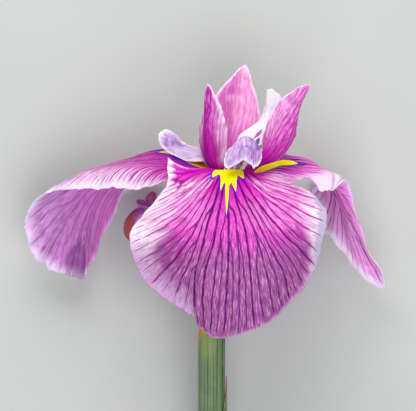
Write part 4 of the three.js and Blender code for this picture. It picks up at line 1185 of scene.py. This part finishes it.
def bract_grid(start, end, tip, shoulder, power, foot, radius):
    """The bract's points: start and end are its edges' azimuths, tip the azimuth and height of its point."""
    across, along = BRACT_COUNTS
    azimuth = np.linspace(start, end, across)[:, None]
    off = np.abs(azimuth - tip[0])
    top = tip[1] - shoulder * (off / off.max())**power
    t = np.linspace(0, 1, along)[None, :]
    foot_height = SEAT_HEIGHT - BRACT_OVERLAP
    height = foot_height + (top - foot_height) * t
    angle = np.radians(azimuth)
    ridges = 0.05 * np.cos(angle * 15 + 1) + 0.07 * np.cos(angle * 6 + 2.4)
    reach = foot + (radius - foot) * smooth_step(t, 0, 0.4) + smooth_step(t, 0, 0.2) * ridges
    drop = reach * np.cos(angle)
    x = SPATHE_X - reach * np.sin(angle)
    return np.stack([x, height - drop * math.sin(STEM_LEAN), lean(height) + drop * math.cos(STEM_LEAN)], 2)


def bract_skin(name, start, end, dry, body):
    """Glaucous green with raised ribs, painted lighter on the ribs as highlight and darker between them as
    shade, and a dry tip. dry holds its azimuth, half width, length and colour.
    """
    p = Pattern(name)
    place, edge, reach = p.place(), p.measure("edge"), p.measure("reach")
    azimuth = p.measure("rib") * (end - start) + start
    fine = p.streaks(azimuth * 0.2, reach * 0.05, detail=3)
    rib = p.streaks(azimuth * 0.085, reach * 0.008, 3)
    cloud = p.noise(place, 0.12, 3)
    middle, half, length, tint = dry
    off = (azimuth - middle).abs() / half
    beyond = edge + off * off * length * 0.5 + (cloud - 0.5) * 1.2
    near_top = p.measure("along").rise(0.64, 0.8)
    color = p.paint(
        body,
        ((90, 118, 82), cloud.rise(0.4, 0.6) * 0.5),
        # Painted highlights on the raised ribs and painted shade in the grooves between them, where the bump
        # puts them.
        ((124, 148, 112), rib.rise(0.52, 0.62) * 0.5),
        ((56, 82, 52), rib.fall(0.38, 0.48) * 0.8),
        ((146, 166, 132), fine.rise(0.54, 0.68) * 0.3),
        ((120, 138, 118), p.noise(place, 0.9, 3).rise(0.5, 0.7) * 0.2),
        ((164, 178, 116), edge.fall(0.1, 0.7) * 0.5),
        ((164, 170, 80), beyond.fall(length * 0.8, length * 1.9) * near_top * 0.5),
        (tint, beyond.fall(length * 0.6, length * 1.1)),
    )
    return p.finish(color, p.bump(rib * 0.8 + fine * 0.5, 0.3, 0.6), 0.45 + 0.2 * fine, 0.2, glow=0.06)


def add_bracts():
    foot = RECEPTACLE_RADIUS + SEAT_GAP + BRACT_THICKNESS / 2
    outside = foot + BRACT_THICKNESS + SEAT_GAP
    green = (116, 140, 98)
    shaded = (44, 80, 44)
    orange = (58, 42, 6.6, (214, 136, 16))
    none = (0, 1, 0.01, (150, 110, 60))
    brown = (-84, 16, 1.6, (150, 88, 40))
    bracts = (
        ("bract_left", (-28, 170, (4, -58), 34, 2, foot, 5.4), orange, green),
        ("bract_right", (-33, -184, (-44, -57), 30, 1.6, foot, 4.8), none, shaded),
        ("bract_outer", (-48, -150, (-84, -83.6), 26, 0.8, outside, outside), brown, shaded),
    )
    for node, shape, dry, body in bracts:
        start, end = shape[:2]
        skin = bract_skin(node, start, end, dry, body)
        upper = -1 if end > start else 1
        leaf = blade(node + ".leaf", bract_grid(*shape), LEAF_THICKNESS, upper, (skin, skin), 1)
        dress(leaf, node)


def add_spent_bloom():
    def folds(count, depth, twist):
        return lambda angle, t: (1 + depth * np.cos(count * angle + twist * t)
                                 + 0.04 * np.cos(count * 3 * angle + 2 * twist * t))

    skin = withered_skin("withered petals")
    for number, (spine, radii, fold) in enumerate(SPENT_LOBES):
        lobe = stalk(f"spent_bloom.lobe{number}", spine, 90, 72, profile(radii), folds(*fold), skin)
        dress(lobe, "spent_bloom")
    green = plant_skin("spent pedicel", (140, 160, 98), (170, 184, 124), (104, 128, 70), 6)
    size = profile([1.8, 2.3, 1.6, 1.2, 1.2, 1.2])
    pedicel = stalk("spent_pedicel.rod", on_stem(SPENT_PEDICEL), 110, 32, size, even, green)
    dress(pedicel, "spent_pedicel")


def add_floor():
    bpy.ops.mesh.primitive_plane_add(size=FLOOR_WIDTH, location=(0, 0, FLOOR_HEIGHT))
    floor = bpy.context.object
    floor.name = "floor"
    floor.data.materials.append(floor_skin("floor"))


set_camera()
set_lights()
add_floor()
add_falls()
add_standards()
add_styles()
add_centre()
add_spent_bloom()
add_bracts()
add_stem()

bpy.context.view_layer.update()
